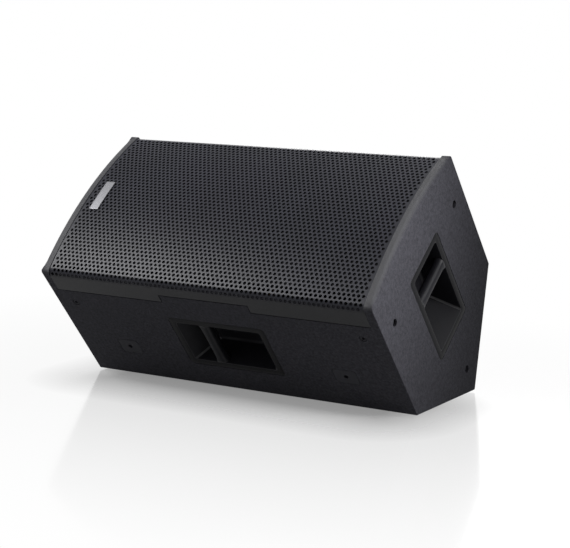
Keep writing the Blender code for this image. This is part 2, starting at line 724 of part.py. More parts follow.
def build_woofer(frames):
    axis = frames["woofer"]
    seat = BAFFLE_FRONT + SEAM
    face = seat + 0.006
    floor = -0.1000
    frame_bottom = -0.1080
    profile = [
        (WOOFER_FLANGE_RADIUS, face), (WOOFER_FLANGE_RADIUS, seat), (0.1412, seat), (0.1395, -0.042),
        (0.0880, -0.0990), (0.0860, frame_bottom), (0.0700, frame_bottom), (0.0700, floor), (0.0830, floor),
        (0.1350, -0.0400), (0.1370, face),
    ]
    basket = add_part("woofer_frame", turned_mesh(profile, WOOFER_STEPS), "cast_frame", axis)
    windows = []
    spokes = 8
    wedge = ((0.080, -0.022), (0.160, -0.046), (0.160, 0.046), (0.080, 0.022))
    for i in range(spokes):
        turn = Matrix.Rotation(2 * math.pi * (i + 0.5) / spokes, 2)
        windows.append([turn @ Vector(point) for point in wedge])
    window_top = -0.048
    window_bottom = -0.092
    cutter = plate_mesh(windows, window_top - window_bottom)
    combine(basket, add_cutter("basket_windows", cutter, axis, (0, 0, (window_top + window_bottom) / 2)))

    roll_radius = 0.0066
    roll_centre = 0.1312
    roll_steps = 5
    glue_z = face + SEAM + 0.0005
    roll = []
    for i in range(roll_steps + 1):
        angle = math.pi * i / roll_steps
        roll.append((roll_centre + roll_radius * math.cos(angle), glue_z + roll_radius * math.sin(angle)))
    line = [(0.1465, glue_z)] + roll + [(0.1190, glue_z)]
    add_part("woofer_surround", turned_mesh(ribbon(line, 0.0010), WOOFER_STEPS), "black_rubber", axis)
    gasket_low = glue_z + 0.0005 + SEAM
    gasket = ring_mesh(0.1405, 0.1535, gasket_low + 0.003, gasket_low, WOOFER_STEPS)
    add_part("woofer_gasket", gasket, "black_rubber", axis)

    cone_edge = glue_z - 0.0005 - SEAM - 0.0007
    cone_line = [(0.1235, cone_edge), (0.1190, cone_edge)]
    cone_line += [(0.0960, -0.0390), (0.0700, -0.0585), (0.0405, -0.0810)]
    add_part("woofer_cone", turned_mesh(ribbon(cone_line, 0.0014), WOOFER_STEPS), "cone_paper", axis)
    cap_top = -0.0530
    cap_base = -0.0685
    cap_radius = 0.0500
    cap_sheet = 0.0010
    dome = [(cap_radius * k / 4, cap_top - (cap_top - cap_base) * (k / 4) ** 2) for k in range(5)]
    cap_profile = dome + [(r, z - cap_sheet) for r, z in reversed(dome)]
    add_part("woofer_dust_cap", turned_mesh(cap_profile, MOTOR_STEPS), "cone_paper", axis)
    coil = ring_mesh(0.0376, 0.0386, -0.0745, -0.1190, MOTOR_STEPS)
    add_part("woofer_voice_coil", coil, "copper_wire", axis)
    spider_z = floor + SEAM + 0.0004
    wave_pitch = 0.0076
    wave_heights = (0.0, 0.0024, -0.0006, 0.0024, -0.0006)
    spider_line = [(0.0805, spider_z)]
    spider_line += [(0.0700 - wave_pitch * k, spider_z + wave) for k, wave in enumerate(wave_heights)]
    add_part("woofer_spider", turned_mesh(ribbon(spider_line, 0.0008), MOTOR_STEPS), "spider_cloth", axis)

    plate_top = frame_bottom - SEAM
    magnet_top = plate_top - 0.008 - SEAM
    yoke_top = magnet_top - 0.020 - SEAM
    yoke_bottom = yoke_top - 0.010
    pole_top = plate_top - 0.0002
    plate = ring_mesh(0.0400, 0.0820, plate_top, plate_top - 0.008, MOTOR_STEPS)
    add_part("woofer_top_plate", plate, "zinc_steel", axis)
    magnet = ring_mesh(0.0480, 0.0860, magnet_top, magnet_top - 0.020, MOTOR_STEPS)
    add_part("woofer_magnet", magnet, "ferrite", axis)
    pole_radius = 0.0366
    vent_radius = 0.0100
    yoke = [
        (pole_radius, pole_top), (pole_radius, yoke_top), (0.0800, yoke_top), (0.0800, yoke_bottom),
        (vent_radius, yoke_bottom), (vent_radius, pole_top),
    ]
    add_part("woofer_back_plate", turned_mesh(yoke, MOTOR_STEPS), "zinc_steel", axis)


# High-frequency unit

def horn_mesh():
    # Flare from the round throat to the square mouth, with a mouth flange and a throat flange
    mouth_z = BAFFLE_FRONT + SEAM + HORN_FLANGE_THICKNESS
    seat_z = BAFFLE_FRONT + SEAM
    throat_flange = 0.030
    stations = 7

    def half_size(s):
        return THROAT_RADIUS * (HORN_MOUTH_HALF / THROAT_RADIUS) ** (s ** 0.9)

    def height(s):
        return THROAT_Z + s * (mouth_z - THROAT_Z)

    def squareness(s):
        return 2.0 + 7.0 * s

    shares = [k / (stations - 1) for k in range(stations)]
    rings = [square_ring(half_size(s), squareness(s), height(s)) for s in shares]
    rings.append(square_ring(HORN_FLANGE_HALF, 14.0, mouth_z))
    rings.append(square_ring(HORN_FLANGE_HALF, 14.0, seat_z))
    rings.append(square_ring(HORN_OPENING_HALF - 0.001, 9.0, seat_z))
    for s in reversed(shares[1:-1]):
        rings.append(square_ring(half_size(s) + HORN_WALL, squareness(s), height(s)))
    flange_top = THROAT_Z + 0.006
    rings.append(square_ring(THROAT_RADIUS + 2 * HORN_WALL, 2.0, flange_top))
    rings.append(square_ring(throat_flange, 2.0, flange_top))
    rings.append(square_ring(throat_flange, 2.0, THROAT_Z))
    return loft_mesh(rings, closed=True)


def build_high_frequency_unit(frames):
    axis = frames["horn"]
    add_part("horn", horn_mesh(), "handle_plastic", axis)
    front = THROAT_Z - SEAM
    plate_back = front - 0.008
    magnet_back = plate_back - SEAM - 0.020
    ring_back = magnet_back - SEAM - 0.0056
    pole_radius = 0.0215
    bore_back = 0.0165
    yoke = [
        (0.0500, front), (0.0500, plate_back), (pole_radius, plate_back), (pole_radius, ring_back),
        (bore_back, ring_back), (THROAT_RADIUS, front),
    ]
    add_part("hf_yoke", turned_mesh(yoke, MOTOR_STEPS), "zinc_steel", axis)
    magnet = ring_mesh(0.0290, 0.0520, plate_back - SEAM, magnet_back, MOTOR_STEPS)
    add_part("hf_magnet", magnet, "ferrite", axis)
    top_plate = ring_mesh(0.0240, 0.0500, magnet_back - SEAM, ring_back, MOTOR_STEPS)
    add_part("hf_top_plate", top_plate, "zinc_steel", axis)

    plug_tip = ring_back + 0.0240
    bullet = [(0.0, plug_tip), (0.0060, plug_tip - 0.010), (0.0100, ring_back), (0.0, ring_back)]
    plug_part = add_part("hf_phase_plug", turned_mesh(bullet, SMALL_STEPS), "handle_plastic", axis)
    fin_length = 0.0298
    fin = plate_mesh([rectangle(fin_length, 0.0016)], 0.008)
    for k in range(2):
        name = f"phase_plug_fin_{k}"
        fin_part = add_cutter(name, fin, axis, (0, 0, ring_back + 0.0055), turn=math.pi * k / 2)
        combine(plug_part, fin_part, "UNION")

    rim = ring_back - 0.0015
    sheet = 0.0006
    dome_depth = 0.0078
    coil_in = 0.0222
    coil_out = 0.0228
    edge = 0.0285
    dome = [(coil_in * k / 3, rim - dome_depth * (1 - (k / 3) ** 2)) for k in range(4)]
    coil_top = ring_back + 0.0040
    profile = dome + [(coil_in, coil_top), (coil_out, coil_top), (coil_out, rim), (edge, rim)]
    profile += [(edge, rim - sheet), (coil_out, rim - sheet)]
    profile += [(r, z - sheet) for r, z in reversed(dome[:-1])]
    add_part("hf_diaphragm", turned_mesh(profile, MOTOR_STEPS), "titanium", axis)

    rest = ring_back - SEAM
    clamp_back = rest - 0.0030
    cover_back = rest - 0.0260
    cover = [
        (0.0, cover_back + 0.0025), (0.0470, cover_back + 0.0025), (0.0470, clamp_back), (0.0290, clamp_back),
        (0.0290, rest), (0.0500, rest), (0.0500, cover_back + 0.002), (0.0480, cover_back), (0.0, cover_back),
    ]
    add_part("hf_rear_cover", turned_mesh(cover, MOTOR_STEPS), "cast_frame", axis)


# Crossover, terminals and leads

def bobbin_mesh(radius, height):
    # Wound coil between two thin flanges, with an open core
    core = 0.4 * radius
    flange = 0.0015
    winding = 0.9 * radius
    profile = [
        (radius, height), (radius, height - flange), (winding, height - flange), (winding, flange),
        (radius, flange), (radius, 0.0), (core, 0.0), (core, height),
    ]
    return turned_mesh([(r, -z) for r, z in profile], SMALL_STEPS)


def capacitor_mesh(radius, length):
    chamfer = 0.15 * radius
    profile = [
        (0.0, length / 2), (radius - chamfer, length / 2), (radius, length / 2 - chamfer),
        (radius, -length / 2 + chamfer), (radius - chamfer, -length / 2), (0.0, -length / 2),
    ]
    mesh = turned_mesh(profile, 12)
    mesh.transform(Matrix.Rotation(math.pi / 2, 4, "Y"))
    return mesh


def build_crossover(frames):
    floor = frames["floor"]
    width, height, thickness = BOARD_SIZE
    under = -(BOARD + SEAM + STANDOFF_HEIGHT)
    top = under - thickness
    mesh = plate_mesh([rectangle(width, height, radius=0.004)], thickness)
    board = add_part("crossover_board", mesh, "circuit_board", floor, (BOARD_X, 0, under - thickness / 2))
    post_x = width / 2 - 0.008
    post_y = height / 2 - 0.008
    feet = [circle(0.004, (sx * post_x, sy * post_y), 8) for sx in (-1, 1) for sy in (-1, 1)]
    overlap = thickness / 2
    posts = plate_mesh(feet, STANDOFF_HEIGHT + overlap)
    place = (BOARD_X, 0, under + (STANDOFF_HEIGHT - overlap) / 2)
    combine(board, add_cutter("board_standoffs", posts, floor, place), "UNION")
    rest = top - SEAM
    add_part("crossover_inductor_low", bobbin_mesh(0.024, 0.026), "copper_wire", floor, (0.106, -0.016, rest))
    add_part("crossover_inductor_high", bobbin_mesh(0.016, 0.018), "copper_wire", floor, (0.098, 0.026, rest))
    can = 0.0095
    for name, y in (("crossover_capacitor_low", -0.020), ("crossover_capacitor_high", 0.008)):
        add_part(name, capacitor_mesh(can, 0.042), "capacitor_film", floor, (0.168, y, rest - can))


def build_terminals(frames):
    rear = frames["rear"]
    flange_x, flange_y = (size / 2 for size in TERMINAL_FLANGE)
    mouth_x, mouth_y = (size / 2 for size in TERMINAL_MOUTH)
    draft = 0.003
    wall = TERMINAL_WALL
    deep = -TERMINAL_DEPTH
    rings = [
        rect_ring(mouth_x - draft, mouth_y - draft, 0.006, deep),
        rect_ring(mouth_x, mouth_y, 0.006, -wall),
        rect_ring(mouth_x + 0.001, mouth_y + 0.001, 0.006, -SEAM),
        rect_ring(flange_x - 0.001, flange_y - 0.001, 0.005, -SEAM),
        rect_ring(flange_x, flange_y, 0.006, -SEAM - 0.001),
        rect_ring(flange_x, flange_y, 0.006, -TERMINAL_SHEET),
        rect_ring(mouth_x + wall, mouth_y + wall, 0.006, -TERMINAL_SHEET),
        rect_ring(mouth_x + wall - draft, mouth_y + wall - draft, 0.006, deep - wall),
    ]
    dish = add_part("terminal_plate", loft_mesh(rings), "handle_plastic", rear, (TERMINAL_X, 0, 0))
    flange = 0.0025
    barrel = 0.020
    bore = 0.0098
    rim = SOCKET_RADIUS + 0.003
    profile = [
        (0.0, 0.0), (bore, 0.0), (bore, barrel), (rim, barrel), (rim, barrel - flange),
        (SOCKET_RADIUS, barrel - flange), (SOCKET_RADIUS, -0.002), (0.0, -0.002),
    ]
    for name, sign in (("terminal_socket_input", -1), ("terminal_socket_link", 1)):
        x = TERMINAL_X + sign * SOCKET_SPACING / 2
        hole = rod_mesh(SOCKET_RADIUS + SEAM, 0.012)
        combine(dish, add_cutter(name + "_hole", hole, rear, (x, 0, deep + 0.003)))
        place = (x, 0, deep + SEAM + flange - barrel)
        add_part(name, turned_mesh(profile, SMALL_STEPS), "socket_plastic", rear, place)


def bezier(start, start_pull, end_pull, end, count=10):
    points = []
    for i in range(count + 1):
        t = i / count
        u = 1 - t
        points.append(start * u ** 3 + start_pull * 3 * u * u * t + end_pull * 3 * u * t * t + end * t ** 3)
    return points


def add_lead(name, frame, start, start_pull, end_pull, end):
    curve = bpy.data.curves.new(name, "CURVE")
    curve.dimensions = "3D"
    curve.bevel_depth = LEAD_RADIUS
    curve.bevel_resolution = 1
    curve.use_fill_caps = True
    points = bezier(*(Vector(point) for point in (start, start_pull, end_pull, end)))
    spline = curve.splines.new("POLY")
    spline.points.add(len(points) - 1)
    for target, point in zip(spline.points, points):
        target.co = (*point, 1.0)
    holder = bpy.data.objects.new(name, curve)
    PARTS.objects.link(holder)
    add_part(name, bake(holder), "cable_jacket", frame)


def build_leads(frames):
    # Leads run from the board, in the cabinet frame, to the input socket, the woofer and the horn driver
    s = math.sin(FLOOR_ANGLE)
    c = math.cos(FLOOR_ANGLE)
    middle_z = -(SIDE_DEPTH + APEX_DEPTH) / 2

    def on_board(x, along, lift):
        # Point over the board: along runs towards the front, lift away from it
        off = BOARD + 2 * SEAM + STANDOFF_HEIGHT + BOARD_SIZE[2] + lift
        return (x, -HALF / 2 - along * c + off * s, middle_z + along * s + off * c)

    def behind_socket(lift):
        off = TERMINAL_DEPTH - 0.0025 + 0.022 + lift
        return (TERMINAL_X - SOCKET_SPACING / 2, HALF / 2 - off * s, middle_z + off * c)

    pull = 0.045
    add_lead("input_lead", frames["cabinet"], on_board(0.132, -0.038, 0.0), on_board(0.132, -0.038, pull),
             behind_socket(pull), behind_socket(LEAD_GAP))
    woofer_rim = WOOFER_X + 0.0865 + LEAD_GAP
    add_lead("woofer_lead", frames["cabinet"], on_board(0.132, 0.030, 0.0), on_board(0.132, 0.030, 2 * pull),
             (0.060, 0.010, -0.1035), (woofer_rim, 0.0, -0.1035))
    hf_side = -0.0500 - LEAD_GAP
    hf_z = THROAT_Z - 0.0043
    add_lead("hf_lead", frames["cabinet"], on_board(0.190, 0.036, 0.0), on_board(0.190, 0.036, pull),
             (HORN_X, hf_side - pull, hf_z), (HORN_X, hf_side, hf_z))


# Rigging, pole socket, feet and damping

def rigging_plate_mesh():
    width, height, thickness = RIGGING_PLATE
    rings = [
        round_ring(RIGGING_HOLE_RADIUS, -BOSS_DEPTH),
        round_ring(RIGGING_HOLE_RADIUS, 0.0),
        rect_ring(width / 2, height / 2, 0.005, 0.0),
        rect_ring(width / 2, height / 2, 0.005, -thickness),
        round_ring(BOSS_RADIUS, -thickness),
        round_ring(BOSS_RADIUS, -BOSS_DEPTH),
    ]
    return loft_mesh(rings, closed=True)


def bracket_mesh():
    # Equal-legged angle, its corner at the origin and its legs along -X and -Y
    leg = BRACKET_LEG
    sheet = BRACKET_SHEET
    outline = [(0, 0), (-leg, 0), (-leg, -sheet), (-sheet, -sheet), (-sheet, -leg), (0, -leg)]
    holder = bpy.data.objects.new("bracket", plate_mesh([outline], BRACKET_HEIGHT))
    PARTS.objects.link(holder)
    tools = []
    for name, axis in (("side_hole", "X"), ("end_hole", "Y")):
        drill = rod_mesh(RIGGING_HOLE_RADIUS, 4 * sheet, 12)
        drill.transform(Matrix.Translation((0, 0, 2 * sheet)))
        drill.transform(Matrix.Rotation(math.pi / 2, 4, axis))
        place = (-CORNER_POINT_OFFSET, 0, 0) if axis == "X" else (0, -CORNER_POINT_OFFSET, 0)
        tools.append(add_cutter(name, drill, None, place))
        combine(holder, tools[-1])
    mesh = bake(holder)
    for tool in tools:
        bpy.data.objects.remove(tool, do_unlink=True)
    return mesh


def build_rigging(frames):
    for side, towards_front in (("lower", 1), ("upper", -1)):
        for end, sign in (("left", -1), ("right", 1)):
            place = (sign * RIGGING_PLATE_X, -towards_front * RIGGING_PLATE_DEPTH, 0)
            name = f"rigging_plate_{side}_{end}"
            add_part(name, rigging_plate_mesh(), "black_steel", frames[side + "_side"], place)
    corner_x = LENGTH / 2 - BOARD - SEAM
    corner_y = HALF - BOARD - SEAM
    mesh = bracket_mesh()
    corners = (("upper_right", 1, 1), ("upper_left", -1, 1), ("lower_left", -1, -1), ("lower_right", 1, -1))
    for quarter, (name, sx, sy) in enumerate(corners):
        place = (sx * corner_x, sy * corner_y, -CORNER_POINT_DEPTH)
        turn = quarter * math.pi / 2
        add_part("rigging_bracket_" + name, mesh.copy(), "zinc_steel", frames["cabinet"], place, turn)
    bpy.data.meshes.remove(mesh)


def build_fittings(frames):
    bottom = -POLE_BORE_LENGTH
    outer = POLE_BORE_RADIUS + POLE_WALL
    bore = POLE_BORE_RADIUS
    rim = POLE_FLANGE_RADIUS
    chamfer = 0.001
    profile = [
        (0.0, bottom), (bore, bottom), (bore, -chamfer), (bore + chamfer, 0.0), (rim - chamfer, 0.0),
        (rim, -chamfer), (rim, -POLE_FLANGE_THICKNESS), (outer, -POLE_FLANGE_THICKNESS),
        (outer, bottom - POLE_WALL), (0.0, bottom - POLE_WALL),
    ]
    mesh = turned_mesh(profile, MOTOR_STEPS)
    add_part("pole_socket", mesh, "handle_plastic", frames["left"], (0, -POLE_SOCKET_DEPTH, 0))
    taper = 0.0015
    tip = SEAM + FOOT_HEIGHT
    foot = [(0.0, tip), (FOOT_RADIUS - taper, tip), (FOOT_RADIUS, SEAM), (0.0, SEAM)]
    for number, (sx, sy) in enumerate(((-1, -1), (1, -1), (1, 1), (-1, 1)), start=1):
        add_part(f"rubber_foot_{number}", turned_mesh(foot, SMALL_STEPS), "black_rubber", frames["floor"],
                 (sx * FOOT_X, sy * FOOT_Y, 0))
    felt_thickness = 0.020
    felt = plate_mesh([rectangle(0.280, 0.140, radius=0.010)], felt_thickness)
    add_part("damping_felt", felt, "felt", frames["floor"], (-0.155, 0, -(BOARD + SEAM + felt_thickness / 2)))


clear_scene()
PARTS = new_collection("stage_monitor_wedge")
CUTTERS = new_collection("cutters")
FRAMES = build_frames()
build_end_panels(FRAMES)
build_boards(FRAMES)
build_baffle_and_brace(FRAMES)
build_ports(FRAMES)
build_grille(FRAMES)
build_front_trim(FRAMES)
build_handles(FRAMES)
build_woofer(FRAMES)
build_high_frequency_unit(FRAMES)
build_crossover(FRAMES)
build_terminals(FRAMES)
build_leads(FRAMES)
build_rigging(FRAMES)
build_fittings(FRAMES)
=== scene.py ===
import json
from math import atan2, copysign, cos, pi, radians, sin, sqrt, tan

import bmesh
import bpy
from mathutils import Matrix, Vector

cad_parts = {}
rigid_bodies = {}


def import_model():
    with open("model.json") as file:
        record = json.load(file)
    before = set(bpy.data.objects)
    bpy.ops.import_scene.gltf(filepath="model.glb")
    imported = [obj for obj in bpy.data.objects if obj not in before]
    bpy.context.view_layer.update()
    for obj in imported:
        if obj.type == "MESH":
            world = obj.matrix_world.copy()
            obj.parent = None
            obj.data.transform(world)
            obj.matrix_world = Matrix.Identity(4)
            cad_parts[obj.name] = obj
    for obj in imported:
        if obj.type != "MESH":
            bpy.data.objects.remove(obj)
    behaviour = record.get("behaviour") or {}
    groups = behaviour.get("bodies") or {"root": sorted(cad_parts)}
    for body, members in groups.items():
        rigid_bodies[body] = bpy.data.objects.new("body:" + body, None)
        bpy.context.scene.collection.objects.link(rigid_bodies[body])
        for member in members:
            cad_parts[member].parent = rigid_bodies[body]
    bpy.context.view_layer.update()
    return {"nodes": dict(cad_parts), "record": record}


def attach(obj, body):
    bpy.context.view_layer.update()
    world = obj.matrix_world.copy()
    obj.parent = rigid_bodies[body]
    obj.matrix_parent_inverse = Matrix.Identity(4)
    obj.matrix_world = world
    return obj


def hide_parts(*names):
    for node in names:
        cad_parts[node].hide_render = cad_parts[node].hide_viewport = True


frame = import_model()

print("frame loaded:", len(frame["nodes"]), "nodes")

tiny = 0.00001      # metres: closer than this counts as the same place
squareTurn = 1.0    # radians: an edge that turns by more is a square one
facing = 0.9        # a face looks along an axis when that much of its normal does
fourCorners = ((-1, -1), (-1, 1), (1, -1), (1, 1))

# cabinet section, in the cabinet's own axes: x along the box, y up the sloping front, z out of the front
cabinet = {
    "length": 0.660, "frontChord": 0.348, "sideDepth": 0.263, "floorAngle": radians(39.4),
    "bulge": 0.020, "bowSteps": 40,
    "bowShare": 0.92,        # of the front that is drawn as the bow, between the rounded tips
    "board": 0.015, "gap": 0.0003, "feet": 0.0033,
    "tipRadius": 0.006, "backRadius": 0.003, "arcSteps": 8, "edgeRound": 0.0016,
    "frontRound": 0.0080,    # roundover along the bowed front edge of each end panel
    "roundFrom": -0.006,     # it starts at this height
    "roundFade": 0.018,      # and narrows over this distance from each tip
    "roundSteps": 6,
    "sideFront": -0.012,     # front edge of the two side panels
    "baffleFront": -0.030,
    "cutterFront": 0.060,    # how far the hollow's cutter stands out of the front
}
half = cabinet["frontChord"] / 2
halfLength = cabinet["length"] / 2
board = cabinet["board"]
inner = halfLength - board - cabinet["gap"]    # half the length between the end panels
apexDepth = cabinet["sideDepth"] + half * tan(cabinet["floorAngle"])
bowRadius = (half ** 2 + cabinet["bulge"] ** 2) / (2 * cabinet["bulge"])
bowCentre = cabinet["bulge"] - bowRadius
sinFloor = sin(cabinet["floorAngle"])
cosFloor = cos(cabinet["floorAngle"])


# working helpers, used by every piece below

def startFresh():
    if bpy.context.object and bpy.context.object.mode != "OBJECT":
        bpy.ops.object.mode_set(mode="OBJECT")
    bpy.ops.object.select_all(action="DESELECT")


def activate(piece):
    startFresh()
    piece.select_set(True)
    bpy.context.view_layer.objects.active = piece


def newPiece(name):
    # the primitive that was just added
    piece = bpy.context.object
    piece.name = name
    return piece


def addBlock(name, centre, halfSizes):
    startFresh()
    bpy.ops.mesh.primitive_cube_add(size=2.0, location=centre)
    block = newPiece(name)
    block.scale = halfSizes
    bpy.ops.object.transform_apply()
    return block


def editMesh(selectMode):
    bpy.ops.object.mode_set(mode="EDIT")
    bpy.ops.mesh.select_mode(type=selectMode)
    return bmesh.from_edit_mesh(bpy.context.object.data)


def pick(kind, test):
    # selects the vertices, edges or faces that pass a test, in edit mode
    bpy.ops.mesh.select_all(action="DESELECT")
    mesh = bmesh.from_edit_mesh(bpy.context.object.data)
    for item in getattr(mesh, kind):
        if test(item):
            item.select_set(True)
    bmesh.update_edit_mesh(bpy.context.object.data)


def pickFacing(way):
    # faces that look up along z, or down with -1
    pick("faces", lambda face: face.normal.z * way > facing)


def pushAlongZ(distance):
    bpy.ops.mesh.extrude_region_move(TRANSFORM_OT_translate={"value": (0, 0, distance)})


def selectAll():
    bpy.ops.mesh.select_all(action="SELECT")


def moveSelected(newPlace):
    # each selected vertex goes to its new place, in edit mode
    data = bpy.context.object.data
    for v in bmesh.from_edit_mesh(data).verts:
        if v.select:
            v.co = newPlace(v.co)
    bmesh.update_edit_mesh(data)


def bevelEdges(offset, segments):
    bpy.ops.mesh.bevel(offset=offset, segments=segments, affect="EDGES")


def intoScene(piece):
    bpy.context.scene.collection.objects.link(piece)


def middle(item):
    return sum((corner.co for corner in item.verts), Vector()) / len(item.verts)


def leaveEdit():
    bpy.ops.object.mode_set(mode="OBJECT")
    return bpy.context.object


def outwardNormals():
    editMesh("FACE")
    selectAll()
    bpy.ops.mesh.remove_doubles(threshold=tiny / 2)
    bpy.ops.mesh.normals_make_consistent(inside=False)
    return leaveEdit()


def thicken(piece, thickness):
    wall = piece.modifiers.new("wall", "SOLIDIFY")
    wall.thickness = thickness
    wall.offset = -1.0


def applyModifiers(piece):
    activate(piece)
    for modifier in list(piece.modifiers):
        bpy.ops.object.modifier_apply(modifier=modifier.name)


def smoothUnder(piece, degrees):
    activate(piece)
    bpy.ops.object.shade_smooth_by_angle(angle=radians(degrees))


def copyPiece(piece, name):
    twin = piece.copy()
    twin.data = piece.data.copy()
    twin.name = name
    intoScene(twin)
    return twin


def settle(piece, place, slotName, stands=(), body="cabinet"):
    # the place goes into the mesh, so the object itself stays at the origin
    piece.data.transform(place @ piece.matrix_basis)
    piece.matrix_basis = Matrix.Identity(4)
    piece.data.materials.clear()
    piece.data.materials.append(finishes[slotName])
    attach(piece, body)
    if stands:
        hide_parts(*stands)


def pullOutline(name, points, low, high):
    # flat outline in the xy plane, pulled up along z from low to high
    startFresh()
    bpy.ops.mesh.primitive_circle_add(vertices=len(points), radius=1.0, fill_type="NGON")
    piece = newPiece(name)
    for corner, (x, y) in zip(piece.data.vertices, points):
        corner.co = (x, y, low)
    editMesh("FACE")
    selectAll()
    pushAlongZ(high - low)
    leaveEdit()
    return outwardNormals()


def cutAway(piece, tool):
    cut = piece.modifiers.new("cut", "BOOLEAN")
    cut.operation = "DIFFERENCE"
    cut.solver = "EXACT"
    cut.object = tool
    applyModifiers(piece)
    bpy.data.objects.remove(tool, do_unlink=True)


def cutPrism(piece, place, outline, low, high):
    tool = pullOutline("cutter", outline, low, high)
    tool.data.transform(place)
    cutAway(piece, tool)


# outlines

def splitCorner(before, corner, after):
    # the two ways out of a corner, and half the angle between them
    back = (Vector(before) - corner).normalized()
    ahead = (Vector(after) - corner).normalized()
    return back, ahead, back.angle(ahead) / 2


def cornerArc(before, corner, after, radius, steps):
    corner = Vector(corner)
    back, ahead, halfAngle = splitCorner(before, corner, after)
    centre = corner + (back + ahead).normalized() * radius / sin(halfAngle)
    first = corner + back * radius / tan(halfAngle) - centre
    last = corner + ahead * radius / tan(halfAngle) - centre
    start = atan2(first.y, first.x)
    sweep = (atan2(last.y, last.x) - start + pi) % (2 * pi) - pi
    turns = [start + sweep * i / steps for i in range(steps + 1)]
    return [centre + Vector((cos(a), sin(a))) * radius for a in turns]


def roundedBox(width, height, radius, centre=(0, 0), steps=5):
    x, y = centre
    corners = [(x + sx * width / 2, y + sy * height / 2) for sx, sy in ((1, -1), (1, 1), (-1, 1), (-1, -1))]
    points = []
    for i, corner in enumerate(corners):
        points += cornerArc(corners[i - 1], corner, corners[(i + 1) % 4], radius, steps)
    return points


def disc(radius, steps):
    turns = [2 * pi * i / steps for i in range(steps)]
    return [(radius * cos(a), radius * sin(a)) for a in turns]


sideEnd = -cabinet["sideDepth"]
backCorners = [(-half, 0), (-half, sideEnd), (0, -apexDepth), (half, sideEnd), (half, 0)]


def bowHeight(y, inset=0.0):
    return bowCentre + sqrt((bowRadius - inset) ** 2 - y ** 2)


def sectionOutline():
    bowEnd = cabinet["bowShare"] * half
    across = [bowEnd * (1 - 2 * i / cabinet["bowSteps"]) for i in range(cabinet["bowSteps"] + 1)]
    bow = [(y, bowHeight(y)) for y in across]
    ring = backCorners + bow
    radii = [cabinet["tipRadius"]] + [cabinet["backRadius"]] * 3 + [cabinet["tipRadius"]]
    points = []
    for i, radius in enumerate(radii):
        points += cornerArc(ring[i - 1], ring[i], ring[i + 1], radius, cabinet["arcSteps"])
    return points + [Vector(p) for p in bow]


def insideCorner(index, distance):
    corner = Vector(backCorners[index])
    back, ahead, halfAngle = splitCorner(backCorners[index - 1], corner, backCorners[index + 1])
    return corner + (back + ahead).normalized() * distance / sin(halfAngle)


# places: the cabinet on the floor, then a frame on each outer face with z pointing out

def axesAt(origin, xAxis, yAxis, zAxis):
    turn = Matrix((xAxis, yAxis, zAxis)).transposed().to_4x4()
    return Matrix.Translation(origin) @ turn


def moved(place, x=0.0, y=0.0, z=0.0):
    return place @ Matrix.Translation((x, y, z))


floorReach = [y * cosFloor - z * sinFloor for y, z in sectionOutline()]
cabinetPlace = Matrix.Translation((
    0,
    -(min(floorReach) + max(floorReach)) / 2,
    half * sinFloor + cabinet["sideDepth"] * cosFloor + cabinet["feet"],
)) @ Matrix.Rotation(cabinet["floorAngle"], 4, "X")
facetDepth = -(cabinet["sideDepth"] + apexDepth) / 2
sectionPlace = cabinetPlace @ axesAt((0, 0, 0), (0, 1, 0), (0, 0, 1), (1, 0, 0))
lowerSide = cabinetPlace @ axesAt((0, -half, 0), (1, 0, 0), (0, 0, 1), (0, -1, 0))
upperSide = cabinetPlace @ axesAt((0, half, 0), (1, 0, 0), (0, 0, -1), (0, 1, 0))
rearFacet = cabinetPlace @ axesAt(
    (0, half / 2, facetDepth), (1, 0, 0), (0, -cosFloor, -sinFloor), (0, sinFloor, -cosFloor))
rightEnd = cabinetPlace @ axesAt((halfLength, 0, 0), (0, 1, 0), (0, 0, 1), (1, 0, 0))
leftEnd = cabinetPlace @ axesAt((-halfLength, 0, 0), (0, -1, 0), (0, 0, 1), (-1, 0, 0))


def onSides(x, depth):
    # a left and a right place on the lower and the upper side, at a depth behind the front
    spots = []
    for side, front in ((lowerSide, 1), (upperSide, -1)):
        spots += [moved(side, way * x, -front * depth) for way in (-1, 1)]
    return spots


# materials

def newFinish(name, colour, roughness, metallic=0.0, specular=0.5):
    finish = bpy.data.materials.new(name)
    finish.use_nodes = True
    tree = finish.node_tree
    shader = tree.nodes["Principled BSDF"]
    shader.inputs["Base Color"].default_value = (*colour, 1)
    shader.inputs["Roughness"].default_value = roughness
    shader.inputs["Metallic"].default_value = metallic
    shader.inputs["Specular IOR Level"].default_value = specular
    spot = tree.nodes.new("ShaderNodeTexCoord")
    return finish, tree, shader, spot.outputs["Object"]


def addNode(tree, kind, values, links):
    # plain values and incoming links, each by the name or number of its socket
    node = tree.nodes.new(f"ShaderNode{kind}")
    for name, value in values.items():
        node.inputs[name].default_value = value
    for name, origin in links.items():
        tree.links.new(origin, node.inputs[name])
    return node


def addNoise(tree, where, scale, detail, roughness=0.55, stretch=None):
    if stretch:
        where = addNode(tree, "Mapping", {"Scale": stretch}, {"Vector": where}).outputs["Vector"]
    values = {"Scale": scale, "Detail": detail, "Roughness": roughness}
    return addNode(tree, "TexNoise", values, {"Vector": where}).outputs["Fac"]


def addRange(tree, value, low, high, fromLow=0.3, fromHigh=0.7):
    values = {"From Min": fromLow, "From Max": fromHigh, "To Min": low, "To Max": high}
    return addNode(tree, "MapRange", values, {"Value": value}).outputs["Result"]


def combine(tree, operation, first, second):
    node = addNode(tree, "Math", {}, {0: first, 1: second})
    node.operation = operation
    return node.outputs["Value"]


def addTones(tree, shader, value, colour, places, shares):
    # from a darker to a lighter share of one colour
    ramp = addNode(tree, "ValToRGB", {}, {"Fac": value})
    for stop, place, share in zip(ramp.color_ramp.elements, places, shares):
        stop.position = place
        stop.color = (*(channel * share for channel in colour), 1)
    tree.links.new(ramp.outputs["Color"], shader.inputs["Base Color"])


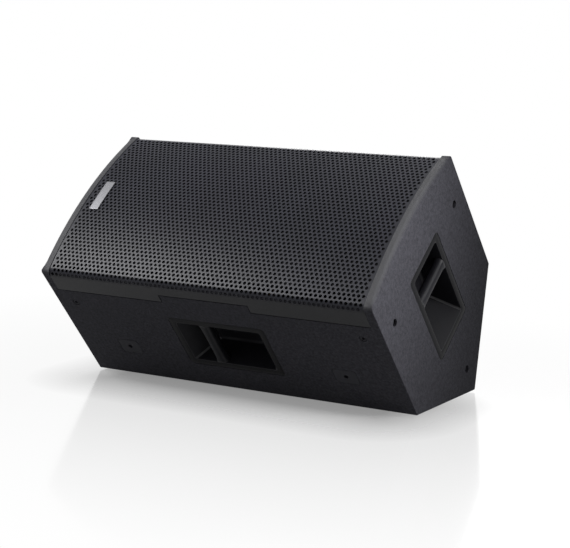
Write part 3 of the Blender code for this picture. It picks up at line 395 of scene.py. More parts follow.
def addGloss(tree, shader, value, low, high):
    tree.links.new(addRange(tree, value, low, high), shader.inputs["Roughness"])


def addBump(tree, shader, value, strength, distance, under=None):
    bump = addNode(tree, "Bump", {"Strength": strength, "Distance": distance}, {"Height": value})
    if under:
        tree.links.new(under, bump.inputs["Normal"])
    tree.links.new(bump.outputs["Normal"], shader.inputs["Normal"])
    return bump.outputs["Normal"]


def tint(tree, shader, share, colour):
    # the base colour turns to another one as the share goes to 1
    base = shader.inputs["Base Color"]
    blend = tree.nodes.new("ShaderNodeMix")
    blend.data_type = "RGBA"
    blend.inputs["B"].default_value = (*colour, 1)
    tree.links.new(share, blend.inputs["Factor"])
    tree.links.new(base.links[0].from_socket, blend.inputs["A"])
    tree.links.new(blend.outputs["Result"], base)


def marked(finish, attribute, colour, roughShare):
    # another colour and shine where a mesh carries the attribute
    tree = finish.node_tree
    shader = tree.nodes["Principled BSDF"]
    mark = tree.nodes.new("ShaderNodeAttribute")
    mark.attribute_name = attribute
    tint(tree, shader, mark.outputs["Fac"], colour)
    rough = shader.inputs["Roughness"]
    share = addRange(tree, mark.outputs["Fac"], 1.0, roughShare, 0.0, 1.0)
    tree.links.new(combine(tree, "MULTIPLY", rough.links[0].from_socket, share), rough)


speckle = {
    "grain": {"detail": 4.0, "roughness": 0.6},
    "drift": {"scale": 9.0, "detail": 2.0},
    "sums": (0.7, 1.3),    # of grain and drift together
    "gloss": 0.08, "bumpHeight": 0.0004,
}


def speckledFinish(name, colour, roughness, grain, bump, metallic=0.0, contrast=0.25, specular=0.5):
    # plain moulded, cast or sprayed surface: broad colour drift, fine grain in colour, gloss and bump
    finish, tree, shader, where = newFinish(name, colour, roughness, metallic, specular)
    fine = addNoise(tree, where, grain, **speckle["grain"])
    drift = addNoise(tree, where, **speckle["drift"])
    mixed = addRange(tree, combine(tree, "ADD", fine, drift), 0.0, 1.0, *speckle["sums"])
    addTones(tree, shader, mixed, colour, (0.0, 1.0), (1 - contrast, 1 + contrast))
    addGloss(tree, shader, fine, roughness - speckle["gloss"], roughness + speckle["gloss"])
    addBump(tree, shader, fine, bump, speckle["bumpHeight"])
    return finish


texturedPaint = {
    "base": {"colour": (0.0270, 0.0267, 0.0318), "roughness": 0.74, "specular": 0.065},
    "mottle": {"scale": 220.0, "detail": 5.0, "roughness": 0.70},   # of a few millimetres
    "tones": {"places": (0.32, 0.68), "shares": (0.62, 1.38)},
    "gloss": (-0.07, 0.09),
    "paintedHighlightTone": {"colour": (0.064, 0.064, 0.068), "roughShare": 0.55},
    "skin": {"scale": 1700.0, "detail": 2.0},
    "skinBump": {"strength": 0.25, "distance": 0.00035},
    "beads": {"Scale": 620.0, "Smoothness": 0.6},   # about 1.5 mm from bead to bead
    "beadReach": 0.8,
    "beadBump": {"strength": 0.75, "distance": 0.00035},
}


def paintedWood(name):
    # sprayed texture paint: round beads over a finer skin, with mottling in tone
    paint = texturedPaint
    finish, tree, shader, where = newFinish(name, **paint["base"])
    beads = addNode(tree, "TexVoronoi", {}, {"Vector": where})
    beads.feature = "SMOOTH_F1"
    for key, value in paint["beads"].items():
        beads.inputs[key].default_value = value
    skin = addNoise(tree, where, **paint["skin"])
    mottle = addNoise(tree, where, **paint["mottle"])
    addTones(tree, shader, mottle, paint["base"]["colour"], **paint["tones"])
    addGloss(tree, shader, skin, *(paint["base"]["roughness"] + step for step in paint["gloss"]))
    # painted highlight: a lighter colour and lower roughness where the mesh carries the wear attribute
    marked(finish, "wear", **paint["paintedHighlightTone"])
    under = addBump(tree, shader, skin, **paint["skinBump"])
    crowns = addRange(tree, beads.outputs["Distance"], 1.0, 0.0, 0.0, paint["beadReach"])
    addBump(tree, shader, crowns, under=under, **paint["beadBump"])
    return finish


satin = {
    "base": {"colour": (0.18, 0.18, 0.190), "roughness": 0.42, "metallic": 0.85},
    "strokes": {"scale": 220.0, "detail": 4.0, "roughness": 0.6, "stretch": (14.0, 1.0, 1.0)},
    "tones": {"places": (0.3, 0.7), "shares": (0.82, 1.12)},
    "gloss": (0.34, 0.52),
    "bump": {"strength": 0.10, "distance": 0.0001},
}


def brushedPlate(name):
    # satin metal, brushed along the plate
    finish, tree, shader, where = newFinish(name, **satin["base"])
    strokes = addNoise(tree, where, **satin["strokes"])
    addTones(tree, shader, strokes, satin["base"]["colour"], **satin["tones"])
    addGloss(tree, shader, strokes, *satin["gloss"])
    addBump(tree, shader, strokes, **satin["bump"])
    return finish


plywood = {
    "base": {"colour": (0.50, 0.37, 0.22), "roughness": 0.72},
    "grain": {"scale": 60.0, "detail": 6.0, "roughness": 0.62, "stretch": (0.12, 1.0, 1.0)},
    "tones": {"places": (0.32, 0.66), "shares": (0.62, 1.0)},
    "bump": {"strength": 0.2, "distance": 0.0003},
    "wash": (0.008, 0.008, 0.008),       # black wash on the side that faces the grille
    "washFrom": 0.0014, "washFull": 0.0007,   # below the baffle's face
}


def plywoodFinish(name):
    finish, tree, shader, where = newFinish(name, **plywood["base"])
    grain = addNoise(tree, where, **plywood["grain"])
    addTones(tree, shader, grain, plywood["base"]["colour"], **plywood["tones"])
    outward = Vector((0, -sinFloor, cosFloor))
    height = addNode(tree, "VectorMath", {1: outward}, {0: where})
    height.operation = "DOT_PRODUCT"
    face = (cabinetPlace @ Vector((0, 0, cabinet["baffleFront"]))).dot(outward)
    span = (face - plywood["washFrom"], face - plywood["washFull"])
    tint(tree, shader, addRange(tree, height.outputs["Value"], 0.0, 1.0, *span), plywood["wash"])
    addBump(tree, shader, grain, **plywood["bump"])
    return finish


weave = {
    "base": {"roughness": 0.95, "specular": 0.2},
    "noise": {"detail": 2.0, "roughness": 0.5},
    "stretches": ((6.0, 1.0, 1.0), (1.0, 6.0, 1.0)),
    "tones": {"places": (0.10, 0.40), "shares": (0.6, 1.2)},
    "bump": {"strength": 0.6, "distance": 0.0005},
}


def clothFinish(name, colour, thread):
    # woven or fibrous surface: two crossed stretches of noise
    finish, tree, shader, where = newFinish(name, colour, **weave["base"])
    threads = [addNoise(tree, where, thread, stretch=way, **weave["noise"]) for way in weave["stretches"]]
    crossed = combine(tree, "MULTIPLY", *threads)
    addTones(tree, shader, crossed, colour, **weave["tones"])
    addBump(tree, shader, crossed, **weave["bump"])
    return finish


finishes = {
    "cabinet_paint": paintedWood("texturedBlackPaint"),
    "bare_plywood": plywoodFinish("barePlywood"),
    "grille_paint": speckledFinish(
        "grillePowderCoat", (0.0142, 0.0146, 0.0208), 0.38, grain=900.0, bump=0.15, specular=0.15),
    "acoustic_foam": clothFinish("openFoam", (0.006, 0.006, 0.007), thread=500.0),
    "badge_silver": brushedPlate("badgeSatin"),
    "handle_plastic": speckledFinish(
        "mouldedBlackPlastic", (0.0078, 0.0078, 0.0096), 0.40, grain=700.0, bump=0.30, specular=0.06),
    "cast_frame": speckledFinish(
        "castBlack", (0.035, 0.035, 0.037), 0.55, grain=400.0, bump=0.35, metallic=0.3),
    "cone_paper": clothFinish("conePulp", (0.020, 0.020, 0.020), thread=300.0),
    "black_rubber": speckledFinish("blackRubber", (0.014, 0.014, 0.014), 0.80, grain=500.0, bump=0.20),
    "spider_cloth": clothFinish("spiderCloth", (0.50, 0.33, 0.12), thread=700.0),
    "black_steel": speckledFinish(
        "blackSteel", (0.022, 0.022, 0.0262), 0.60, grain=500.0, bump=0.20, specular=0.08),
    "zinc_steel": speckledFinish(
        "zincSteel", (0.55, 0.55, 0.56), 0.36, grain=120.0, bump=0.08, metallic=1.0, contrast=0.10),
    "ferrite": speckledFinish("ferrite", (0.055, 0.053, 0.052), 0.70, grain=300.0, bump=0.30),
    "titanium": speckledFinish(
        "formedMetal", (0.46, 0.45, 0.44), 0.30, grain=200.0, bump=0.06, metallic=1.0, contrast=0.08),
    "copper_wire": clothFinish("copperWinding", (0.52, 0.22, 0.10), thread=900.0),
    "circuit_board": speckledFinish("boardLaminate", (0.04, 0.14, 0.06), 0.50, grain=260.0, bump=0.10),
    "capacitor_film": speckledFinish(
        "wrappedFilm", (0.46, 0.30, 0.06), 0.40, grain=90.0, bump=0.08, contrast=0.12),
    "socket_plastic": speckledFinish("socketPlastic", (0.016, 0.020, 0.030), 0.40, grain=700.0, bump=0.20),
    "felt": clothFinish("greyFelt", (0.28, 0.29, 0.30), thread=180.0),
    "cable_jacket": speckledFinish("leadJacket", (0.36, 0.03, 0.03), 0.45, grain=400.0, bump=0.10),
}
# painted shade: a darker colour and more roughness on the grille's folds and side flanges
marked(finishes["grille_paint"], "folded", colour=(0.0074, 0.0075, 0.0090), roughShare=1.35)
# painted highlights on the handles: a lighter colour on fillets, scoops, rim and bar edges
marked(finishes["handle_plastic"], "wear", colour=(0.110, 0.110, 0.114), roughShare=0.7)
# painted shade: a darker colour on the handle cups' flat flange
marked(finishes["handle_plastic"], "flange", colour=(0.0028, 0.0028, 0.0036), roughShare=1.2)
for part in frame["record"]["subparts"]:
    node = frame["nodes"][part["node"]]
    node.data.materials.clear()
    node.data.materials.append(finishes[part["material_slot"]])
print("finishes ready:", len(finishes))


# cabinet shell: the six outer boards as one painted body, with every opening that a fitting sits in

rigging = {
    "plateX": 0.222, "plateDepth": 0.184, "plate": (0.044, 0.034, 0.003), "plateGap": 0.0016,
    "plateCorner": 0.005, "boss": 0.0096,
    "cornerDepth": 0.076, "cornerIn": 0.025, "rearDepth": 0.349,
    "hole": 0.0068, "holeDepth": 0.010, "sides": 24,
}
pole = {
    "depth": 0.165, "flange": 0.0484, "flangeThickness": 0.0033, "bore": 0.0220, "sides": 48,
    "screwCircle": 0.036,
}
terminal = {
    "x": 0.125, "flange": (0.1326, 0.0866), "sheet": 0.0025, "lip": 0.004, "corner": 0.006,
    "screwIn": 0.0055,
}
# where the painted highlight lies along the end panels' front edges
paintedHighlightStrip = {"inside": 0.001, "lowest": -0.004, "fade": 0.005, "edgeGap": 0.0004}
poleSpot = moved(leftEnd, 0, -pole["depth"])
terminalSpot = moved(rearFacet, terminal["x"])
plateSpots = onSides(rigging["plateX"], rigging["plateDepth"])
sideSpots = onSides(halfLength - board - rigging["cornerIn"], rigging["cornerDepth"])
cornerY = half - board - rigging["cornerIn"]
endSpots = []    # two front corners and the rear of each end
for end in (rightEnd, leftEnd):
    endSpots += [moved(end, way * cornerY, -rigging["cornerDepth"]) for way in (-1, 1)]
    endSpots.append(moved(end, 0, -rigging["rearDepth"]))


def roundEnds(shell):
    # each end face is pushed out in rings along a quarter circle, wide on the bow and narrow at the tips
    ring = sectionOutline()
    steps = cabinet["roundSteps"]
    inward, radii = [], []
    for i, point in enumerate(ring):
        along = (ring[(i + 1) % len(ring)] - ring[i - 1]).normalized()
        side = Vector((-along.y, along.x))
        inward.append(side if side.dot(Vector((0, -half)) - point) > 0 else -side)
        share = (half - abs(point.x)) / cabinet["roundFade"] if point.y > cabinet["roundFrom"] else 0.0
        radii.append(max(cabinet["edgeRound"], cabinet["frontRound"] * min(1.0, share)))
    for way in (-1, 1):
        editMesh("FACE")
        pickFacing(way)
        now = ring
        for step in range(steps + 1):
            if step:
                bpy.ops.mesh.extrude_region_move()
            turn = pi / 2 * step / steps
            following = [p + n * r * (1 - cos(turn)) for p, n, r in zip(ring, inward, radii)]

            def onRing(spot):
                i = min(range(len(now)), key=lambda k: (now[k] - spot.xy).length)
                return *following[i], way * (halfLength - radii[i] * (1 - sin(turn)))

            moveSelected(onRing)
            now = following
        leaveEdit()


def cutHollow(shell):
    front, beyond = cabinet["sideFront"], cabinet["cutterFront"]
    hollow = [(-half - board, beyond), (-half - board, front), (-half + board, front)]
    hollow += [insideCorner(i, board) for i in (1, 2, 3)]
    hollow += [(half - board, front), (half + board, front), (half + board, beyond)]
    cutPrism(shell, sectionPlace, hollow, -inner, inner)


def cutRebates(shell):
    # where the grille's flanges lie on the two sides, with the notch in the lower one
    lip = grille["sheet"] + grille["lipGap"]
    low = -(grille["flange"] + grille["shadowGap"])
    notch = -(grille["notchFlange"] + grille["shadowGap"])
    step = grille["notchHalf"] - grille["shadowGap"]
    rebate = [(-inner, low), (-step, low), (-step, notch), (step, notch), (step, low), (inner, low)]
    cutPrism(shell, lowerSide, rebate + [(inner, board), (-inner, board)], -lip, board)
    plain = [(-inner, -board), (inner, -board), (inner, -low), (-inner, -low)]
    cutPrism(shell, upperSide, plain, -lip, board)


def cutSeat(shell, place, wide, depth, narrow):
    # a shallow seat for a flange, and the opening through the board within it
    cutPrism(shell, place, wide, -depth, board)
    cutPrism(shell, place, narrow, -2 * board, board)


def cutSeats(shell):
    def grown(size, margin, corner):
        return roundedBox(size[0] + margin, size[1] + margin, corner)

    size = (handle["length"], handle["width"])
    wide = grown(size, 2 * handle["gap"], handle["seatCorner"])
    narrow = grown(size, -handle["openingMargin"], handle["openingCorner"])
    for place in (frontHandle, endHandle):
        cutSeat(shell, place, wide, handle["flangeThickness"] + cabinet["gap"], narrow)
    wide = grown(rigging["plate"], rigging["plateGap"], rigging["plateCorner"])
    narrow, hole = (disc(rigging[name], rigging["sides"]) for name in ("boss", "hole"))
    for place in plateSpots:
        cutSeat(shell, place, wide, rigging["plate"][2] + cabinet["gap"], narrow)
    for place in sideSpots + endSpots:
        cutPrism(shell, place, hole, -rigging["holeDepth"], board)
    wide, narrow = (disc(pole[name], pole["sides"]) for name in ("flange", "bore"))
    cutSeat(shell, poleSpot, wide, pole["flangeThickness"], narrow)
    wide = grown(terminal["flange"], 0, terminal["corner"])
    narrow = grown(terminal["flange"], -2 * terminal["lip"], terminal["corner"])
    cutSeat(shell, terminalSpot, wide, terminal["sheet"], narrow)


def markPaintedHighlight(shell):
    # painted highlight along the front edges of the end panels: a lighter colour, with lower roughness, on
    # and near the bowed band
    toCabinet = cabinetPlace.inverted()
    wear = shell.data.attributes.new("wear", "FLOAT", "POINT")
    for v in shell.data.vertices:
        spot = toCabinet @ v.co
        fromEnd = halfLength - abs(spot.x)
        onPanel = fromEnd < board + paintedHighlightStrip["inside"]
        if onPanel and spot.z > paintedHighlightStrip["lowest"] and abs(spot.y) < half:
            below = bowHeight(spot.y) - spot.z
            fade = paintedHighlightStrip["fade"]
            share = min(1.0 - below / fade, (fromEnd - paintedHighlightStrip["edgeGap"]) / fade)
            wear.data[v.index].value = min(1.0, max(0.0, share))


def buildShell():
    shell = pullOutline("cabinetShell", sectionOutline(), -halfLength, halfLength)
    roundEnds(shell)
    shell.data.transform(sectionPlace)
    cutHollow(shell)
    cutRebates(shell)
    cutSeats(shell)
    markPaintedHighlight(shell)
    smoothUnder(shell, 32)
    flat = shell.modifiers.new("flat", "WEIGHTED_NORMAL")   # boards stay flat beside their rounded edges
    flat.keep_sharp = True
    applyModifiers(shell)
    settle(shell, Matrix.Identity(4), "cabinet_paint",
           ("end_panel_left", "end_panel_right", "lower_side_panel", "upper_side_panel",
            "rear_panel", "floor_panel"))


# grille: perforated flat first, then bowed over the front and folded down the sides

grille = {
    "pitch": 0.00885, "hole": 0.0060, "columns": 70, "rows": 45, "weld": 0.00002,
    "sheet": 0.0012, "inset": 0.0015, "halfWidth": 0.3144, "border": 0.0009,
    "foldRadius": 0.014, "foldSteps": 4, "flange": 0.045, "notchFlange": 0.028, "notchHalf": 0.090,
    "shadowGap": 0.0018, "lipGap": 0.0006,
}
rowStep = grille["pitch"] * sqrt(3) / 2
cellPoints = 12    # of a six-sided cell: its corners and the middles of its sides
sheetRadius = bowRadius - grille["inset"]
foldY = half - grille["foldRadius"]
foldZ = bowCentre + sqrt((sheetRadius - grille["foldRadius"]) ** 2 - foldY ** 2)
foldAngle = atan2(foldY, foldZ - bowCentre)
bowHalf = sheetRadius * foldAngle
foldEnd = bowHalf + grille["foldRadius"] * (pi / 2 - foldAngle)
flangeEnd = foldEnd + grille["flange"] + foldZ
notchEnd = foldEnd + grille["notchFlange"] + foldZ


def onSheet(along):
    # point of the bent sheet at a distance along it from the middle of the front
    distance = abs(along)
    if distance <= bowHalf:
        turn = distance / sheetRadius
        y = sheetRadius * sin(turn)
        z = bowCentre + sheetRadius * cos(turn)
    elif distance <= foldEnd:
        turn = foldAngle + (distance - bowHalf) / grille["foldRadius"]
        y = foldY + grille["foldRadius"] * sin(turn)
        z = foldZ + grille["foldRadius"] * cos(turn)
    else:
        y = half
        z = foldZ - (distance - foldEnd)
    return copysign(y, along), z


def onCell(spot):
    # out from the hole's rim to the cell's edge
    turn = atan2(spot.y, spot.x)
    isCorner = round(turn * cellPoints / (2 * pi)) % 2
    size = grille["pitch"] / (sqrt(3) if isCorner else 2)
    return size * cos(turn), size * sin(turn), 0


def holeCell():
    # one hole in a six-sided cell
    startFresh()
    bpy.ops.mesh.primitive_circle_add(vertices=cellPoints, radius=grille["hole"] / 2, fill_type="NOTHING")
    cell = newPiece("grilleSheet")
    editMesh("EDGE")
    selectAll()
    bpy.ops.mesh.extrude_edges_move()
    moveSelected(onCell)
    leaveEdit()
    rim = cell.vertex_groups.new(name="rim")
    inside = grille["hole"] / 2 + tiny
    rim.add([v.index for v in cell.data.vertices if v.co.length < inside], 1.0, "REPLACE")
    return cell


def perforatedField():
    # the cell repeated by arrays in staggered rows
    pitch = grille["pitch"]
    field = holeCell()
    for count, offset in (
        (2, (pitch / 2, rowStep, 0)),
        (grille["columns"], (pitch, 0, 0)),
        (grille["rows"] // 2 + 1, (0, 2 * rowStep, 0)),
    ):
        row = field.modifiers.new("row", "ARRAY")
        row.count = count
        row.use_relative_offset = False
        row.use_constant_offset = True
        row.constant_offset_displace = offset
    applyModifiers(field)
    editMesh("FACE")   # the rows come in pairs, so the odd one at the end goes
    pick("faces", lambda face: middle(face).y > grille["rows"] * rowStep)
    bpy.ops.mesh.select_linked()
    bpy.ops.mesh.delete(type="FACE")
    leaveEdit()
    first = Vector((-(grille["columns"] - 0.5) * pitch / 2, -(grille["rows"] - 1) * rowStep / 2, 0))
    field.data.transform(Matrix.Translation(first))
    editMesh("VERT")
    selectAll()
    bpy.ops.mesh.remove_doubles(threshold=grille["weld"])
    leaveEdit()
    return field


def addBorder(field):
    # a plain strip round the holes, out to a straight edge
    pitch = grille["pitch"]
    lastRow = (grille["rows"] - 1) * rowStep / 2
    edgeAlong = lastRow + pitch / sqrt(3) + grille["border"]
    rimIndex = field.vertex_groups["rim"].index
    mesh = editMesh("EDGE")
    deform = mesh.verts.layers.deform.verify()
    rim = {v.index for v in mesh.verts if rimIndex in v[deform]}
    pick("edges", lambda edge: edge.is_boundary and not any(v.index in rim for v in edge.verts))
    bpy.ops.mesh.extrude_edges_move()
    mesh = bmesh.from_edit_mesh(field.data)
    border = [v for v in mesh.verts if v.select]
    for v in border:
        if abs(v.co.y) > lastRow + pitch / 4:
            v.co.y = copysign(edgeAlong, v.co.y)
        else:
            v.co.x = copysign(grille["halfWidth"], v.co.x)
    for sx, sy in fourCorners:
        spot = Vector((sx * grille["halfWidth"], sy * edgeAlong, 0))
        level = [v for v in border if abs(v.co.y - spot.y) < tiny]
        nearest = min(level, key=lambda v: (v.co - spot).length)
        nearest.co = spot
    for v in mesh.verts:
        v.co.y -= rowStep   # holes run over the lower fold, and the upper one stays plain
    bmesh.update_edit_mesh(field.data)
    leaveEdit()


def addFlanges(field):
    # over each fold in steps, then down the side to the notch and on to the flange's end
    steps = grille["foldSteps"]
    for side in (-1, 1):
        mesh = editMesh("EDGE")
        line = max(side * v.co.y for v in mesh.verts)
        overFold = [line + (foldEnd - line) * i / steps for i in range(1, steps + 1)]
        for stop in overFold + [notchEnd, flangeEnd]:
            pick("edges", lambda edge: edge.is_boundary
                 and all(side * v.co.y > line - tiny for v in edge.verts))
            bpy.ops.mesh.extrude_edges_move()
            moveSelected(lambda spot: (spot.x, side * stop, spot.z))
            line = stop
        leaveEdit()


def cutNotch():
    def onStrip(face):
        return -flangeEnd - tiny < middle(face).y < -notchEnd

    editMesh("FACE")
    for way in (-1, 1):
        pick("faces", onStrip)
        bpy.ops.mesh.bisect(plane_co=(way * grille["notchHalf"], 0, 0), plane_no=(1, 0, 0))
    pick("faces", lambda face: onStrip(face) and abs(middle(face).x) < grille["notchHalf"])
    bpy.ops.mesh.delete(type="FACE")
    leaveEdit()


def bendSheet(field):
    folded = field.data.attributes.new("folded", "FLOAT", "POINT")   # painted shade mask: 0 on the front, 1 on the side flanges
    for v in field.data.vertices:
        folded.data[v.index].value = min(1.0, max(0.0, (abs(v.co.y) - bowHalf) / (foldEnd - bowHalf)))
        y, z = onSheet(v.co.y)
        v.co = (v.co.x, y, z)
    if sum(face.normal.z for face in field.data.polygons) < 0:
        field.data.flip_normals()


def buildGrille():
    field = perforatedField()
    addBorder(field)
    addFlanges(field)
    cutNotch()
    bendSheet(field)
    activate(field)    # left and right halves, so that each stays a light mesh
    editMesh("FACE")
    pick("faces", lambda face: middle(face).x > 0)
    bpy.ops.mesh.separate(type="SELECTED")
    leaveEdit()
    other = [piece for piece in bpy.context.selected_objects if piece != field][0]
    for piece, name in ((field, "grilleLeft"), (other, "grilleRight")):
        piece.name = name
        piece.vertex_groups.clear()
        thicken(piece, grille["sheet"])
        applyModifiers(piece)
        smoothUnder(piece, 35)
        settle(piece, cabinetPlace, "grille_paint", ("grille",))


# badge: a blank bowed plate with a raised rim

badge = {
    "length": 0.069, "width": 0.018, "thickness": 0.0018, "x": -0.287, "bowSteps": 12,
    "rim": 0.0012, "sunk": 0.0004, "edgeRound": 0.0004, "edgeAngle": radians(50),
}


def buildBadge():
    startFresh()
    bpy.ops.mesh.primitive_grid_add(x_subdivisions=1, y_subdivisions=badge["bowSteps"], size=1.0)
    plate = newPiece("badgePlate")
    plate.scale = (badge["width"], badge["length"], 1)
    bpy.ops.object.transform_apply()
    editMesh("FACE")
    selectAll()
    bpy.ops.mesh.inset(thickness=badge["rim"])
    bpy.ops.mesh.inset(thickness=badge["sunk"], depth=-badge["sunk"])
    leaveEdit()
    lift = badge["thickness"] + cabinet["gap"] - grille["inset"]
    for v in plate.data.vertices:
        v.co = (v.co.x + badge["x"], v.co.y, bowHeight(v.co.y, -lift) + v.co.z)
    thicken(plate, badge["thickness"])
    soft = plate.modifiers.new("soft", "BEVEL")
    soft.width = badge["edgeRound"]
    soft.segments = 2
    soft.limit_method = "ANGLE"
    soft.angle_limit = badge["edgeAngle"]
    applyModifiers(plate)
    smoothUnder(plate, 35)
    settle(plate, cabinetPlace, "badge_silver", ("badge_plate",))


# handles: a filleted trough under a flush flange, and a waisted grip bar

handle = {
    "length": 0.194, "width": 0.120, "frontDepth": 0.146, "endDepth": 0.161,
    "flange": 0.0120, "flangeThickness": 0.0027, "gap": 0.0008, "seatCorner": 0.0085,
    "openingMargin": 0.009, "openingCorner": 0.010,
    "depth": 0.055, "wall": 0.0025, "floorLength": 0.113, "floorWidth": 0.095, "fillet": 0.0045,
    "rimRound": 0.0012, "rimTurn": 0.3,    # radians: the rim's edges turn by more
    "barOffset": -0.030, "barWidth": 0.020, "barThickness": 0.020, "barGap": 0.0004, "barRound": 0.0088,
    "barCuts": (0.93, 0.80, 0.45),         # shares of the bar's half length
    "barFlare": ((1.0, 1.34), (0.93, 1.16), (0.80, 1.05)),   # and how much wider the bar is there
    # painted highlights: a lighter colour on the bar's rounded edges, the scooped ends, the rim and the
    # fillets, where light catches them
    "barHighlight": 0.34, "barHighlightSpread": 0.15,
    "barHighlightFacing": 0.707,   # upward share of the normal where the bar's painted highlight is strongest
    "filletArea": 0.0006,     # a face smaller than this belongs to a fillet or a rounded rim
    "scoopFacing": 0.5,       # a broad face that looks along x by more is a scooped end
    "cornerFacing": 0.2,      # an upright corner fillet looks along both x and y by more
    "cornerSlope": 0.5,       # and upwards by less
    "scoopHighlight": 0.10, "rimHighlight": 0.22, "floorFilletHighlight": 0.10, "cornerFilletHighlight": 0.72,
    "mouthHighlight": 0.30,        # of a corner fillet, where it comes out at the mouth
}
frontHandle = moved(lowerSide, 0, -handle["frontDepth"])
endHandle = moved(rightEnd, 0, -handle["endDepth"]) @ Matrix.Rotation(-pi / 2, 4, "Z")


def buildCup(name):
    mouthX = handle["length"] / 2 - handle["flange"]
    mouthY = handle["width"] / 2 - handle["flange"]
    depth = handle["depth"]
    cup = addBlock(name, (0, 0, -depth / 2), (mouthX, mouthY, depth / 2))
    editMesh("FACE")
    pickFacing(-1)
    shares = (handle["floorLength"] / 2 / mouthX, handle["floorWidth"] / 2 / mouthY, 1)
    bpy.ops.transform.resize(value=shares, center_override=(0, 0, -depth))
    pickFacing(1)
    bpy.ops.mesh.delete(type="ONLY_FACE")
    bpy.ops.mesh.select_mode(type="EDGE")
    pick("edges", lambda edge: middle(edge).z < -tiny)
    bevelEdges(handle["fillet"], segments=5)
    pick("edges", lambda edge: edge.is_boundary)
    bpy.ops.mesh.extrude_edges_move()
    shares = (handle["length"] / 2 / mouthX, handle["width"] / 2 / mouthY, 1)
    bpy.ops.transform.resize(value=shares, center_override=(0, 0, 0))
    bpy.ops.mesh.extrude_edges_move(TRANSFORM_OT_translate={"value": (0, 0, -handle["flangeThickness"])})

    def onRim(edge):
        level = all(abs(v.co.z) < tiny for v in edge.verts)
        return level and not edge.is_boundary and edge.calc_face_angle(0) > handle["rimTurn"]

    pick("edges", onRim)
    bevelEdges(handle["rimRound"], segments=3)
    selectAll()
    bpy.ops.mesh.normals_make_consistent(inside=False)
    leaveEdit()
    if sum(face.normal.z * face.area for face in cup.data.polygons) < 0:
        cup.data.flip_normals()
    thicken(cup, handle["wall"])
    applyModifiers(cup)
    markCup(cup)
    smoothUnder(cup, 40)
    return cup


def markCup(cup):
    # painted shade on the flange, and painted highlights on the scooped ends, along the fillets and round
    # the rim
    wear = cup.data.attributes.new("wear", "FLOAT", "CORNER")
    flange = cup.data.attributes.new("flange", "FLOAT", "FACE")
    broadCorners = set()
    for face in cup.data.polygons:
        if face.area > handle["filletArea"]:
            broadCorners.update(face.vertices)
    for face in cup.data.polygons:
        x, y, z = (abs(part) for part in face.normal)
        shallow = face.center.z > -handle["flangeThickness"]
        # painted shade: the flat flange faces are marked for a darker colour
        if shallow and z > facing:
            flange.data[face.index].value = 1.0
        elif face.area > handle["filletArea"]:
            for loop in face.loop_indices:
                wear.data[loop].value = handle["scoopHighlight"] if x > handle["scoopFacing"] else 0.0
        else:
            upright = min(x, y) > handle["cornerFacing"] and z < handle["cornerSlope"]
            for loop, corner in zip(face.loop_indices, face.vertices):
                if shallow:
                    wear.data[loop].value = handle["rimHighlight"]
                elif corner not in broadCorners and not upright:
                    wear.data[loop].value = handle["floorFilletHighlight"]
                elif corner not in broadCorners:
                    atMouth = cup.data.vertices[corner].co.z > -2 * handle["fillet"]
                    wear.data[loop].value = handle["mouthHighlight"] if atMouth else handle["cornerFilletHighlight"]


def buildBar(name):
    x, thickness = handle["barOffset"], handle["barThickness"]
    length = handle["width"] / 2 - handle["flange"] - handle["barGap"]
    bar = addBlock(name, (x, 0, -thickness / 2), (handle["barWidth"] / 2, length, thickness / 2))
    editMesh("FACE")
    for share in sorted(way * cut for cut in handle["barCuts"] for way in (-1, 1)):
        selectAll()
        bpy.ops.mesh.bisect(plane_co=(0, share * length, 0), plane_no=(0, 1, 0))
    bpy.ops.mesh.select_mode(type="VERT")
    for share, swell in handle["barFlare"]:
        pick("verts", lambda v: abs(abs(v.co.y) - share * length) < tiny)
        bpy.ops.transform.resize(value=(swell, 1, 1), center_override=(x, 0, 0))
    bpy.ops.mesh.select_mode(type="EDGE")
    pick("edges", lambda edge: abs(edge.verts[0].co.y - edge.verts[1].co.y) > tiny
         and edge.calc_face_angle(0) > squareTurn)
    bevelEdges(handle["barRound"], segments=7)
    leaveEdit()
    outwardNormals()
    wear = bar.data.attributes.new("wear", "FLOAT", "POINT")   # painted highlight where the two outer edges round over
    for v in bar.data.vertices:
        off = abs(v.normal.z - handle["barHighlightFacing"]) / handle["barHighlightSpread"]
        wear.data[v.index].value = handle["barHighlight"] * max(0.0, 1.0 - off)
    smoothUnder(bar, 40)
    return bar


def buildHandles():
    cup = buildCup("handleCupFront")
    bar = buildBar("handleBarFront")
    for base, kind in ((cup, "cup"), (bar, "bar")):
        twin = copyPiece(base, base.name.replace("Front", "End"))
        settle(base, frontHandle, "handle_plastic", (f"handle_{kind}_front",))
        settle(twin, endHandle, "handle_plastic", (f"handle_{kind}_end",))


# four-pole input and link sockets: a rim, a keyed bore and a hollow core with its contacts

socket = {
    "spacing": 0.048, "sides": 48,
    "front": -0.0212,      # below the outer face of the rear board
    "rim": 0.0152, "rimThickness": 0.0025, "rimStep": 0.0008, "rimRise": 0.0004, "rimFlat": 0.0022,
    "barrel": 0.0122, "barrelLength": 0.0220,
    "bore": 0.0100, "boreDepth": 0.0125, "boreChamfer": 0.0008,
    "core": 0.0064, "coreSunk": 0.0010, "coreWall": 0.0013, "coreRise": 0.0004, "coreHollow": 0.0090,
    "keyWidth": 0.0030, "wideKey": 1.6,    # the first of the three keys is this much wider
    "keyGap": 0.0016, "keyReach": 0.0114, "keyCorner": 0.0005, "keyFloor": 0.001, "keyTop": 0.002,
    "contact": (0.0009, 0.0030, 0.0090), "contactGap": 0.0002, "contactSunk": 0.0004,
    "contactRound": 0.00025, "contactTurn": radians(30),
}


